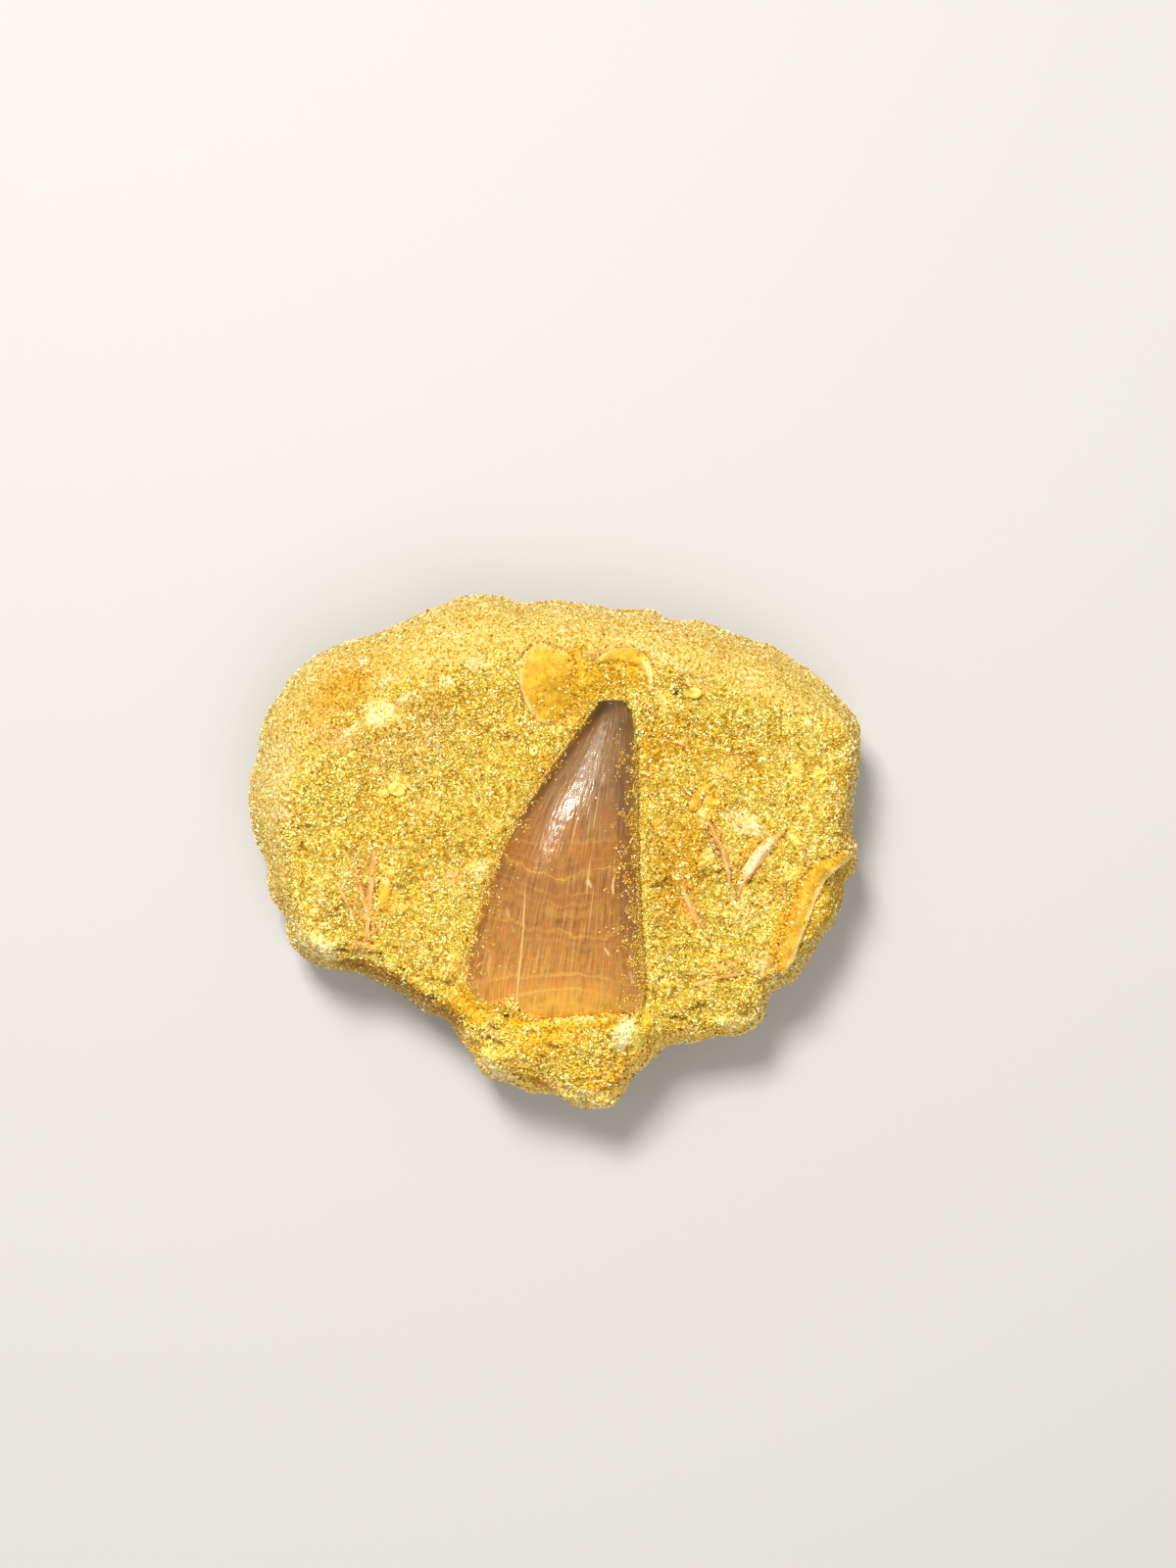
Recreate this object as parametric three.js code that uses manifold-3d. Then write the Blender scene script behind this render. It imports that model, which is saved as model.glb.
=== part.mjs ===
// A fossil mosasaur tooth in its loose block of phosphate sand, with the shells and fish bones round it.
// Millimetres, +Z up. The block rests on its flat underside at z = 0, and the origin is below the middle of
// its outline. +Y runs along the tooth, from its root to its tip.

import * as THREE from 'three';
import { ImprovedNoise } from 'three/addons/math/ImprovedNoise.js';
import Module from 'manifold-3d';

const { lerp, smoothstep, clamp, radToDeg } = THREE.MathUtils;
const wasm = await Module();
wasm.setup();

// ---- Driving dimensions ----

const SEAT_GAP = 0.3; // between a piece and its pocket in the sand
const FACE_HEIGHT = 21; // the sand beside the tooth, above the flat underside
const BOWL_WIDTH = 12; // the face rises from there to the crest over this distance
const BLOCK_CELL = 1.95; // spacing of the points on the block's face
const SIDE_CELL = 2.8; // and on its sides
const RIM_INSETS = [0, 0.3, 1, 2.2]; // the closer rings where the face turns over the rim

// The block seen from above, anticlockwise from +X. It is a rounded slab with a lump below the tooth's root.
const OUTLINE = [
  [43.2, 0], [41.9, 2.8], [42, 5.6], [42.8, 9.8], [43.3, 15.4], [43.1, 18.2], [41.6, 20.7], [38.6, 23.8],
  [34.9, 26.6], [30.4, 29.5], [26, 30.5], [21.1, 32.6], [18.8, 32.6], [14.8, 33.6], [13.9, 34.3], [9.9, 34],
  [4.8, 35], [-0.4, 35.6], [-2.9, 35.1], [-11.3, 36.5], [-19, 33.6], [-24.6, 31.2], [-28.6, 30.1], [-33, 28.3],
  [-35.6, 26.6], [-38.6, 22.4], [-40.2, 20.7], [-41.7, 16.8], [-41.7, 14.7], [-42.8, 11.2], [-43.3, 7.7],
  [-43.1, 4.2], [-41.2, -0.4], [-40.5, -2.5], [-40.9, -3.6], [-39.8, -7], [-38.4, -8.7], [-37.9, -10.5],
  [-38.2, -11.9], [-36.5, -14.3], [-34.4, -15.7], [-27.7, -17.4], [-23.7, -19.3], [-21.8, -20.2], [-19, -22.7],
  [-15, -24.2], [-14, -26.6], [-12.3, -27.7], [-11.2, -30.1], [-9.7, -31.9], [-5.7, -33.2], [-2.9, -34.4],
  [-0.4, -34.3], [1.5, -35.3], [3.1, -36.3], [6.2, -36.5], [8, -36.4], [9.2, -35.3], [10.4, -33.2],
  [14.8, -28.7], [16, -27.4], [20.2, -27], [22.7, -26.2], [26.9, -26], [28.6, -24.9], [29.8, -23.5],
  [31.1, -19.6], [34.2, -18.2], [35.3, -16.5], [38.1, -11.9], [39.8, -9.8], [40.7, -7], [40.7, -4.9],
  [42.6, -1.7],
];

// Round the block's edge by bearing, in degrees from +X: the width of the shoulder and how far it is a straight
// bevel, as a fresh break is, and not worn round; the heights of the crest inside it and of the rim, where the
// block is widest; and how far the underside tucks in below the rim.
const EDGE = [
  { bearing: 0, shoulder: 3.4, bevel: 0.3, crest: 22, rim: 10, tuck: 7 },
  { bearing: 22, shoulder: 2.8, bevel: 0.3, crest: 22.5, rim: 11, tuck: 8 },
  { bearing: 38, shoulder: 9, bevel: 0, crest: 24, rim: 12, tuck: 8 },
  { bearing: 62, shoulder: 7.5, bevel: 0, crest: 24.5, rim: 12.5, tuck: 8 },
  { bearing: 90, shoulder: 8, bevel: 0, crest: 24.5, rim: 12.5, tuck: 9 },
  { bearing: 118, shoulder: 9, bevel: 0, crest: 24.2, rim: 12.5, tuck: 9 },
  { bearing: 148, shoulder: 11, bevel: 0, crest: 24, rim: 12, tuck: 8 },
  { bearing: 176, shoulder: 7, bevel: 0.1, crest: 22.8, rim: 10.5, tuck: 7 },
  { bearing: 202, shoulder: 3, bevel: 0.7, crest: 21.5, rim: 9, tuck: 6 },
  { bearing: 230, shoulder: 3, bevel: 1, crest: 20.5, rim: 8, tuck: 6 },
  { bearing: 248, shoulder: 2.8, bevel: 0.6, crest: 19, rim: 8, tuck: 5 },
  { bearing: 276, shoulder: 3, bevel: 0.4, crest: 19.5, rim: 7.5, tuck: 5 },
  { bearing: 296, shoulder: 2.6, bevel: 0.6, crest: 19, rim: 7.5, tuck: 5 },
  { bearing: 318, shoulder: 2.8, bevel: 0.6, crest: 20.5, rim: 8.5, tuck: 6 },
  { bearing: 340, shoulder: 3.4, bevel: 0.4, crest: 21, rim: 9, tuck: 7 },
];

// Broad swells and hollows of the face: the middle, the reach along X and Y, and the rise.
const SWELLS = [
  { x: 0, y: -25, reachX: 12.5, reachY: 6.5, rise: 7 }, // the lump that covers the tooth's root
  { x: -9.8, y: -22.8, reachX: 4, reachY: 3, rise: 4 }, // its left and right ends
  { x: -12.6, y: -20.2, reachX: 2, reachY: 2, rise: 2.6 },
  { x: -7, y: -20.9, reachX: 1.5, reachY: 1.5, rise: 2.4 },
  { x: 10, y: -23.4, reachX: 4, reachY: 2.6, rise: 3.8 },
  { x: 8.5, y: 25, reachX: 5, reachY: 3.5, rise: -1 }, // the dish inside the curved shell over the tip
  { x: 25.5, y: 1.8, reachX: 2.6, reachY: 3.4, rise: -1.8 }, // the hollow between the two bones of the V
  { x: 30, y: -4, reachX: 5, reachY: 5, rise: -0.9 }, // the dip beside the long plate
  { x: -13.2, y: -25.6, reachX: 2, reachY: 2.4, rise: -4 }, // the cove left of the lump
  { x: -1.6, y: -32.6, reachX: 3, reachY: 2, rise: -3.2 }, // the notch in the lump's lower edge
  { x: 3.6, y: -34.6, reachX: 2.2, reachY: 1.6, rise: -2.4 },
  { x: 14.6, y: -26.4, reachX: 3, reachY: 2.6, rise: -2.6 }, // the step between the lump and the slab
  { x: 17.5, y: 22.6, reachX: 1.3, reachY: 1, rise: -1.5 }, // pits
  { x: -26.6, y: -14.6, reachX: 1.4, reachY: 1.1, rise: -1.6 },
  { x: -24.5, y: 1.8, reachX: 1.2, reachY: 1, rise: -1 },
];

// Small scarps where a layer of sand broke away. The sand lies lower on the right of the line from one end to
// the other, and comes back up over the reach.
const LEDGES = [
  { from: [-28, -9.4], to: [-36.5, -8.4], drop: 1, reach: 2.5 },
  { from: [-27, -12.4], to: [-33, -11.4], drop: 0.8, reach: 2 },
  { from: [-14.5, -17.6], to: [-29.5, -13.2], drop: 1.2, reach: 4 },
  { from: [27, -11], to: [16.5, -12.6], drop: 1, reach: 3 },
  { from: [29.5, -20.6], to: [13, -22.6], drop: 1.6, reach: 5 },
  { from: [26, 4.5], to: [18, 6], drop: 0.9, reach: 2.5 },
  { from: [12.5, -28.6], to: [-9, -28.4], drop: 1.4, reach: 3 },
];

// Roughness: long lumps and shorter knobs on the broken face, and much less of both on the worn shoulders.
const LUMP = { length: 7, rise: 1.2 };
const KNOB = { length: 3, rise: 0.75 };
const WORN = 0.4; // share of the roughness that is left on the shoulders
const BEDDING = { length: 8, thickness: 3.2, depth: 3.4 }; // the layers that show on the sides

// The tooth, by stations from root to tip: its left and right edges, its ridge's place and height, and how deep
// its buried half lies. The ridge is nearer the right edge, so that flank is the steeper one.
const GIRDLE_HEIGHT = 21; // the tooth is widest at the sand's face
const CROWN = [
  { y: -24.4, left: -9, right: 9.5, ridge: 1.5, top: 23.4, keel: 15.5 },
  { y: -23, left: -12, right: 11.8, ridge: 2, top: 25.6, keel: 12.6 },
  { y: -18.5, left: -12.9, right: 12.7, ridge: 2.8, top: 28.2, keel: 11.6 },
  { y: -13, left: -12, right: 12.4, ridge: 3.6, top: 28.9, keel: 11.6 },
  { y: -6, left: -10.1, right: 12.05, ridge: 4.6, top: 28.7, keel: 12 },
  { y: 0, left: -7.85, right: 11.8, ridge: 5.4, top: 28.2, keel: 12.8 },
  { y: 5, left: -5.35, right: 11.7, ridge: 6.1, top: 27.6, keel: 13.6 },
  { y: 10, left: -2.05, right: 11.6, ridge: 6.9, top: 26.9, keel: 14.8 },
  { y: 14, left: 0.7, right: 11.5, ridge: 7.6, top: 26.1, keel: 16 },
  { y: 17, left: 3.05, right: 11.35, ridge: 8.1, top: 25.5, keel: 17.3 },
  { y: 19.4, left: 4.8, right: 11.15, ridge: 8.3, top: 24.9, keel: 18.6 },
  { y: 20.8, left: 5.8, right: 10.6, ridge: 8.2, top: 24.2, keel: 19.6 },
];
const CROWN_TIP = { x: 8.2, y: 21.35, z: 22 };
const CROWN_ROOT = { x: 0.5, y: -24.8, z: 20 };
const CROWN_SQUARENESS = 2.35; // of its section: 2 is an ellipse
const CROWN_RINGS = 23;
const CROWN_SIDES = 22;

// ---- The sand's surface ----

const noise = new ImprovedNoise();
const outline = new THREE.CatmullRomCurve3(OUTLINE.map(([x, y]) => new THREE.Vector3(x, y, 0)), true);
outline.arcLengthDivisions = 1200;
const outlinePoints = outline.getSpacedPoints(500);
const meanRadius = outlinePoints.reduce((sum, p) => sum + p.length(), 0) / outlinePoints.length;

function distanceToOutline(x, y) {
  return Math.sqrt(Math.min(...outlinePoints.map((p) => (p.x - x) ** 2 + (p.y - y) ** 2)));
}

function edgeAt(x, y) {
  const bearing = (radToDeg(Math.atan2(y, x)) + 360) % 360;
  const before = EDGE.findLast((row) => row.bearing <= bearing);
  const after = EDGE[(EDGE.indexOf(before) + 1) % EDGE.length];
  const end = after.bearing > before.bearing ? after.bearing : 360;
  const share = smoothstep(bearing, before.bearing, end);
  const between = (key) => lerp(before[key], after[key], share);
  return Object.fromEntries(Object.keys(before).map((key) => [key, between(key)]));
}

function swellAt(x, y) {
  const lift = (s) => s.rise * Math.exp(-(((x - s.x) / s.reachX) ** 2) - ((y - s.y) / s.reachY) ** 2);
  return SWELLS.reduce((sum, s) => sum + lift(s), 0);
}

function ledgeAt(x, y) {
  return LEDGES.reduce((sum, { from, to, drop, reach }) => {
    const [dx, dy] = [to[0] - from[0], to[1] - from[1]];
    const length = Math.hypot(dx, dy);
    const along = ((x - from[0]) * dx + (y - from[1]) * dy) / length;
    const below = ((y - from[1]) * dx - (x - from[0]) * dy) / length + 0.8 * noise.noise(x / 2.5, y / 2.5, 9.1);
    const ends = smoothstep(along, 0, 2) * smoothstep(length - along, 0, 2);
    return sum - drop * ends * smoothstep(below, 0, 0.9) * Math.exp(-Math.max(below, 0) / reach);
  }, 0);
}

// The height of the sand, with or without its short knobs.
function sandHeight(x, y, knobs = 1) {
  const edge = edgeAt(x, y);
  const inset = distanceToOutline(x, y);
  const face = lerp(edge.crest, FACE_HEIGHT, smoothstep(inset, edge.shoulder, edge.shoulder + BOWL_WIDTH));
  const rough = lerp(WORN, 1, smoothstep(inset, 0.6 * edge.shoulder, edge.shoulder + 1));
  const lumps = LUMP.rise * noise.noise(x / LUMP.length, y / LUMP.length, 0.5);
  const knob = knobs * KNOB.rise * noise.noise(x / KNOB.length, y / KNOB.length, 4.5);
  const height = face + swellAt(x, y) + ledgeAt(x, y) + rough * (lumps + knob);
  const fall = clamp(1 - inset / edge.shoulder, 0, 1);
  return edge.rim + (height - edge.rim) * lerp(Math.sqrt(1 - fall ** 2), 1 - fall, edge.bevel);
}

// ---- Shapes ----

// One closed solid through a stack of rings. Each ring turns anticlockwise as seen from before the first one,
// and rings may have different numbers of points. A ring of one point closes an end.
function solidFromRings(rings) {
  const triangles = [];
  let start = 0;
  for (let r = 0; r + 1 < rings.length; r += 1) {
    const [near, far] = [rings[r].length, rings[r + 1].length];
    const [nearSteps, farSteps] = [near > 1 ? near : 0, far > 1 ? far : 0];
    const nearPoint = (i) => start + (i % near);
    const farPoint = (j) => start + near + (j % far);
    let [i, j] = [0, 0];
    while (i < nearSteps || j < farSteps) {
      const stepNear = j === farSteps || (i < nearSteps && (i + 1) * farSteps <= (j + 1) * nearSteps);
      triangles.push(nearPoint(i), farPoint(j), stepNear ? nearPoint(i + 1) : farPoint(j + 1));
      if (stepNear) i += 1;
      else j += 1;
    }
    start += near;
  }
  const vertProperties = new Float32Array(rings.flat().flatMap((p) => [p.x, p.y, p.z]));
  return new wasm.Manifold(new wasm.Mesh({ numProp: 3, vertProperties, triVerts: new Uint32Array(triangles) }));
}

function average(points) {
  return points.reduce((sum, p) => sum.add(p), new THREE.Vector3()).divideScalar(points.length);
}

// The block: rings across the face, over the rim, down the sides and across the flat underside.
function blockSolid() {
  const ringCount = (share, cell) => Math.max(6, Math.round((outline.getLength() * share) / cell));
  const ring = (share, count, place) => {
    const turn = (i) => ((i + 0.5 * (count % 2)) / count) % 1;
    return Array.from({ length: count }, (_, i) => place(outline.getPointAt(turn(i)).multiplyScalar(share)));
  };
  const insets = [...RIM_INSETS];
  while (insets.at(-1) < meanRadius - 1.5 * BLOCK_CELL) insets.push(insets.at(-1) + BLOCK_CELL);
  const face = insets.toReversed().map((inset) => {
    const share = 1 - inset / meanRadius;
    return ring(share, ringCount(share, BLOCK_CELL), (p) => p.setZ(sandHeight(p.x, p.y)));
  });
  const sides = [0.12, 0.28, 0.46, 0.64, 0.83, 1].map((depth) => ring(1, ringCount(1, SIDE_CELL), (p) => {
    const { rim, tuck } = edgeAt(p.x, p.y);
    const z = rim * (1 - depth);
    const layer = noise.noise(p.x / BEDDING.length, p.y / BEDDING.length, z / BEDDING.thickness + 0.5);
    const inset = tuck * depth ** 1.8 + BEDDING.depth * layer * Math.sin(Math.PI * 0.75 * depth);
    return p.setLength(p.length() - Math.max(inset, 0)).setZ(z);
  }));
  const underside = ring(0.4, 24, (p) => p.setZ(0));
  const top = new THREE.Vector3(0, 0, sandHeight(0, 0));
  return solidFromRings([[top], ...face, ...sides, underside, [new THREE.Vector3()]]);
}

// The tooth: squarish quarter ellipses between its edges, its ridge and its keel, at rings from root to tip.
function crownSolid(grow = 0) {
  const bow = (share) => Math.sign(share) * Math.abs(share) ** (2 / CROWN_SQUARENESS);
  const rail = (place) => new THREE.CatmullRomCurve3(CROWN.map(place));
  const left = rail((s) => new THREE.Vector3(s.left - grow, s.y, GIRDLE_HEIGHT));
  const right = rail((s) => new THREE.Vector3(s.right + grow, s.y, GIRDLE_HEIGHT));
  const ridge = rail((s) => new THREE.Vector3(s.ridge, s.y, s.top + grow));
  const keel = rail((s) => new THREE.Vector3(s.ridge, s.y, s.keel - grow));
  const rings = Array.from({ length: CROWN_RINGS }, (_, r) => {
    const share = r / (CROWN_RINGS - 1);
    const [l, t, e, k] = [left, ridge, right, keel].map((curve) => curve.getPoint(share));
    return Array.from({ length: CROWN_SIDES }, (_, i) => {
      const angle = (2 * Math.PI * i) / CROWN_SIDES;
      const [across, up] = [Math.cos(angle), Math.sin(angle)].map(bow);
      const x = t.x + (across > 0 ? e.x - t.x : t.x - l.x) * across;
      const z = GIRDLE_HEIGHT + (up > 0 ? t.z - GIRDLE_HEIGHT : GIRDLE_HEIGHT - k.z) * up;
      return new THREE.Vector3(x, t.y, z);
    });
  });
  const root = new THREE.Vector3(CROWN_ROOT.x, CROWN_ROOT.y - grow, CROWN_ROOT.z);
  const tip = new THREE.Vector3(CROWN_TIP.x, CROWN_TIP.y + grow, CROWN_TIP.z);
  return solidFromRings([[root], ...rings, [tip]]);
}

// A flat piece that lies in the face: an ellipse or an outline, domed a little, proud of the sand.
function inlaySolid({ points, proud, depth, dome = 0.3 }, grow = 0) {
  const curve = new THREE.CatmullRomCurve3(points.map(([x, y]) => new THREE.Vector3(x, y, 0)), true);
  const edge = curve.getSpacedPoints(Math.max(10, Math.round(curve.getLength() / 1.4))).slice(0, -1);
  const middle = average(edge);
  const radius = edge.reduce((sum, p) => sum + p.distanceTo(middle), 0) / edge.length;
  const place = (share, lift) => edge.map((p) => {
    const q = middle.clone().lerp(p, share * (1 + grow / radius));
    return q.setZ(sandHeight(q.x, q.y, 0) + lift);
  });
  const steps = radius > 2.5 ? [0.4, 0.85] : [0.85];
  const upper = steps.map((share) => place(share, proud + dome * (1 - share ** 2) + grow));
  const lower = steps.toReversed().map((share) => place(share, -depth - grow));
  const rim = [place(1, proud - 0.25 + grow), place(1, 0.25 - depth - grow)];
  return solidFromRings([[average(upper[0])], ...upper, ...rim, ...lower, [average(lower.at(-1))]]);
}

// A long piece that lies in the face: a rounded bar along a path, with a width at each point of it.
function stripSolid({ path, proud, depth, sides = 6 }, grow = 0) {
  const curve = new THREE.CatmullRomCurve3(path.map(([x, y, width]) => new THREE.Vector3(x, y, width)));
  const length = curve.getLength();
  const steps = Math.max(3, Math.round(length / 1.9));
  const rings = Array.from({ length: steps + 1 }, (_, r) => {
    const middle = curve.getPoint(r / steps);
    const along = curve.getTangent(r / steps).setZ(0).normalize();
    const half = middle.z / 2 + grow;
    const top = sandHeight(middle.x, middle.y, 0) + proud + grow;
    const tall = (proud + depth) / 2 + grow;
    return Array.from({ length: sides }, (_, i) => {
      const angle = (2 * Math.PI * (i + 0.5)) / sides;
      const [across, up] = [Math.cos(angle) * half * 1.05, Math.sin(angle) * tall * 1.05];
      const [x, y] = [middle.x + along.y * across, middle.y - along.x * across];
      return new THREE.Vector3(x, y, top - tall + up);
    });
  });
  const ends = [rings[0], rings.at(-1)].map(average);
  const forward = ends[1].clone().sub(ends[0]).normalize();
  ends[0].addScaledVector(forward, -0.3 - grow);
  ends[1].addScaledVector(forward, 0.3 + grow);
  return solidFromRings([[ends[0]], ...rings, [ends[1]]]);
}

function ellipse(x, y, across, along, count = 10) {
  return Array.from({ length: count }, (_, i) => {
    const angle = (2 * Math.PI * i) / count;
    return [x + (across / 2) * Math.cos(angle), y + (along / 2) * Math.sin(angle)];
  });
}

// ---- The shells, bones and pebbles in the face ----

const bone = { color: '#d9a06a', roughness: 0.6 };
const orangeShell = { color: '#e8a52c', roughness: 0.45 };

const SHELL_DISC = [
  [3.3, 24.5], [2.5, 27.6], [0, 29.1], [-2.7, 29.2], [-4.3, 27.7], [-4.9, 25.6], [-4.7, 23], [-3.6, 20.2],
  [-2.2, 18.3], [-0.5, 17.8], [1.6, 18.8], [2.9, 21.5],
];

const FRAGMENTS = [
  {
    name: 'shell_disc', finish: orangeShell, shape: inlaySolid,
    size: { points: SHELL_DISC, proud: 0.35, depth: 1.2, dome: 0.2 },
  },
  {
    name: 'orange_chip', finish: orangeShell, shape: inlaySolid,
    size: {
      points: [
        [-22.5, -3.6], [-23.6, -2.5], [-24.3, -4.2], [-24.5, -7], [-24.3, -8.2], [-23.3, -8.2], [-22.7, -6.6],
      ],
      proud: 0.35, depth: 1, dome: 0.15,
    },
  },
  {
    name: 'pebble_yellow', finish: { color: '#f2d23c', roughness: 0.7 }, shape: inlaySolid,
    size: { points: ellipse(-2.7, 14.5, 1.4, 2), proud: 0.9, depth: 0.8 },
  },
  {
    name: 'pebble_pale', finish: { color: '#f6de8c', roughness: 0.8 }, shape: inlaySolid,
    size: { points: ellipse(-21.7, 9.1, 3, 2.2), proud: 0.7, depth: 0.9 },
  },
  {
    name: 'pebble_upper', finish: { color: '#e6c56e', roughness: 0.8 }, shape: inlaySolid,
    size: { points: ellipse(19.4, 22.3, 2.2, 1.6), proud: 1, depth: 0.8 },
  },
  {
    name: 'shell_arc', finish: orangeShell, shape: stripSolid,
    size: {
      path: [[5.6, 26.5, 0.8], [7.3, 27.3, 1.8], [10, 27.6, 2.8], [12.1, 26.9, 2.6], [13.2, 25.5, 1.8],
        [13.5, 24.1, 1.2], [13.2, 22.6, 0.8]],
      proud: 0.45, depth: 1.4,
    },
  },
  {
    name: 'shell_crescent', finish: orangeShell, shape: stripSolid,
    size: {
      path: [[22.7, 10.1, 0.6], [20.9, 9.1, 1.5], [19.8, 7.6, 2.1], [19.5, 6, 1.8]], proud: 0.45, depth: 1.2,
    },
  },
  {
    name: 'shell_plate', finish: { color: '#eba93a', roughness: 0.5 }, shape: stripSolid,
    size: {
      path: [[41.2, 0, 1.6], [38.6, -1, 2.6], [36.3, -3, 3.2], [34.9, -6.3, 3.2], [33.6, -9.9, 3],
        [32.4, -13.4, 3], [31.3, -16.8, 2]],
      proud: 0.6, depth: 2.6, sides: 8,
    },
  },
  {
    name: 'bone_splinter', finish: { color: '#ecd3a0', roughness: 0.55 }, shape: stripSolid,
    size: {
      path: [[25.5, -6, 0.7], [26.1, -4, 1.5], [27.7, -1.3, 2], [29.8, 1.4, 1.9], [32.1, 3.3, 0.6]],
      proud: 0.75, depth: 1.4, sides: 8,
    },
  },
  {
    name: 'bone_rib', finish: bone, shape: stripSolid,
    size: {
      path: [[21.5, 4.6, 0.6], [22.7, 2.3, 1], [23.8, -0.2, 1.1], [24.3, -2.4, 0.9], [24.4, -4.4, 0.5]],
      proud: 0.55, depth: 1,
    },
  },
  {
    name: 'fish_bone_fork', finish: bone,
    shape: (sizes, grow) => sizes.map((size) => stripSolid(size, grow)).reduce((whole, arm) => whole.add(arm)),
    size: [
      { path: [[-25, 0.8, 0.7], [-25.1, -2, 1.1], [-25.5, -5.8, 1.1], [-25.8, -9.4, 1], [-26.1, -12, 1]],
        proud: 0.4, depth: 0.9 },
      { path: [[-27.4, -1.7, 0.6], [-26.9, -4.3, 0.8], [-26, -7.6, 0.8]], proud: 0.35, depth: 0.8 },
      { path: [[-23.2, -9.3, 0.5], [-24.5, -10.2, 0.6], [-25.8, -11.3, 0.7]], proud: 0.35, depth: 0.8 },
    ],
  },
  {
    name: 'fish_bone_strand', finish: bone, shape: stripSolid,
    size: { path: [[-30, -4.2, 0.5], [-28.6, -6.6, 0.7], [-27.4, -9.2, 0.5]], proud: 0.35, depth: 0.8 },
  },
  {
    name: 'bone_sliver_low', finish: bone, shape: stripSolid,
    size: {
      path: [[19.2, -18.3, 0.6], [21.2, -17.7, 1.1], [23.4, -16.9, 0.7], [27, -16.6, 0.5]],
      proud: 0.4, depth: 0.9,
    },
  },
  {
    name: 'bone_sliver_mid', finish: { color: '#c98c52', roughness: 0.65 }, shape: stripSolid,
    size: {
      path: [[17.9, -4.7, 0.7], [18.8, -7.2, 1.4], [20, -9.2, 1.3], [20.9, -10.3, 0.6]],
      proud: 0.35, depth: 0.8,
    },
  },
];

// ---- The part ----

const part = new THREE.Group();

function addPiece(name, solid, { color, roughness }) {
  const { vertProperties, triVerts } = solid.getMesh();
  const geometry = new THREE.BufferGeometry();
  geometry.setAttribute('position', new THREE.BufferAttribute(vertProperties, 3));
  geometry.setIndex(new THREE.BufferAttribute(triVerts, 1));
  const mesh = new THREE.Mesh(geometry, new THREE.MeshStandardMaterial({ color, roughness, metalness: 0 }));
  mesh.name = name;
  part.add(mesh);
}

let block = blockSolid().subtract(crownSolid(SEAT_GAP));
for (const { name, shape, size, finish } of FRAGMENTS) {
  addPiece(name, shape(size, 0), finish);
  block = block.subtract(shape(size, SEAT_GAP));
}
addPiece('tooth_crown', crownSolid(), { color: '#b8844f', roughness: 0.25 });
addPiece('matrix_block', block, { color: '#e9c55a', roughness: 0.95 });

export default part;
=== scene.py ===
import math

import bmesh
import bpy
import numpy as np
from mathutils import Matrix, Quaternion, Vector, noise
from mathutils.bvhtree import BVHTree


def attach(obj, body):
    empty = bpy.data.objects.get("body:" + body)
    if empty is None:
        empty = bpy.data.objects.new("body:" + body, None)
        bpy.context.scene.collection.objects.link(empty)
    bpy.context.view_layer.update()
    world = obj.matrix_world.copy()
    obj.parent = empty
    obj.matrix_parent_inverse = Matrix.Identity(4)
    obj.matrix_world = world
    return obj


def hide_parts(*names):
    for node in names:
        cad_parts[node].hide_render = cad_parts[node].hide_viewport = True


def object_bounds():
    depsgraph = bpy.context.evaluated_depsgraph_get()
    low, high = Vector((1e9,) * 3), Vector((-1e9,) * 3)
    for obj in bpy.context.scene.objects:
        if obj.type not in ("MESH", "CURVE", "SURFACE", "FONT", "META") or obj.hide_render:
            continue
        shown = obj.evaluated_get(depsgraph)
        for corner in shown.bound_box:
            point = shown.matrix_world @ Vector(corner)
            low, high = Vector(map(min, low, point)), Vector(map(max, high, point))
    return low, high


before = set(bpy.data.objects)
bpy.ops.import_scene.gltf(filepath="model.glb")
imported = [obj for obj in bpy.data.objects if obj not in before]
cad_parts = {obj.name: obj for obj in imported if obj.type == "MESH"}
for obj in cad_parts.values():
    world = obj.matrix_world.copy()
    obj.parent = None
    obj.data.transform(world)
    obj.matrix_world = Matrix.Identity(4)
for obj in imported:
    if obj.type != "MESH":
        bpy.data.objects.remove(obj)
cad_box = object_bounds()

# ---- The tooth ----
# One crown of a marine reptile: a cone of dentine under a thin coat of enamel, both turned to brown apatite. The
# enamel is finely wrinkled from root to tip, and its growth shows as amber lines across it. Half of it is buried.

MM = 0.001
MERGE_DISTANCE = 0.002 * MM
CROWN_GIRDLE = 21 * MM  # the crown is widest at this height, about level with the sand
CAD_SIDES = 22
CROWN_SQUARENESS = 2.35  # of its section: 2 is an ellipse
CROWN_ROWS = 250
CROWN_CAP_ROWS = 8  # round each end
CROWN_UPPER = 136  # columns over the half that shows
CROWN_LOWER = 20
CROWN_HALF_WIDTH = 12 * MM
CAP_BLUNTNESS = 0.25  # 1 is a round end


def merged(node):
    """A copy of a CAD node's mesh with its loose triangles joined up."""
    shape = bmesh.new()
    shape.from_mesh(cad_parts[node].data)
    bmesh.ops.remove_doubles(shape, verts=shape.verts, dist=MERGE_DISTANCE)
    mesh = bpy.data.meshes.new(node + ".merged")
    shape.to_mesh(mesh)
    shape.free()
    return mesh


def read_rows(elements, field, width=3, kind=np.float32):
    """A field of a mesh's elements, one row for each."""
    found = np.empty(len(elements) * width, kind)
    elements.foreach_get(field, found)
    return found.reshape(-1, width)


def points_of(mesh):
    return read_rows(mesh.vertices, "co").astype(float)


def new_object(name, data):
    made = bpy.data.objects.new(name, data)
    bpy.context.scene.collection.objects.link(made)
    return made


def new_piece(name, mesh, material, smooth=True):
    """An object at the origin that shows this mesh in this material."""
    mesh.name = name
    mesh.materials.clear()
    mesh.materials.append(material)
    mesh.polygons.foreach_set("use_smooth", [smooth] * len(mesh.polygons))
    return new_object(name, mesh)


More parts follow.
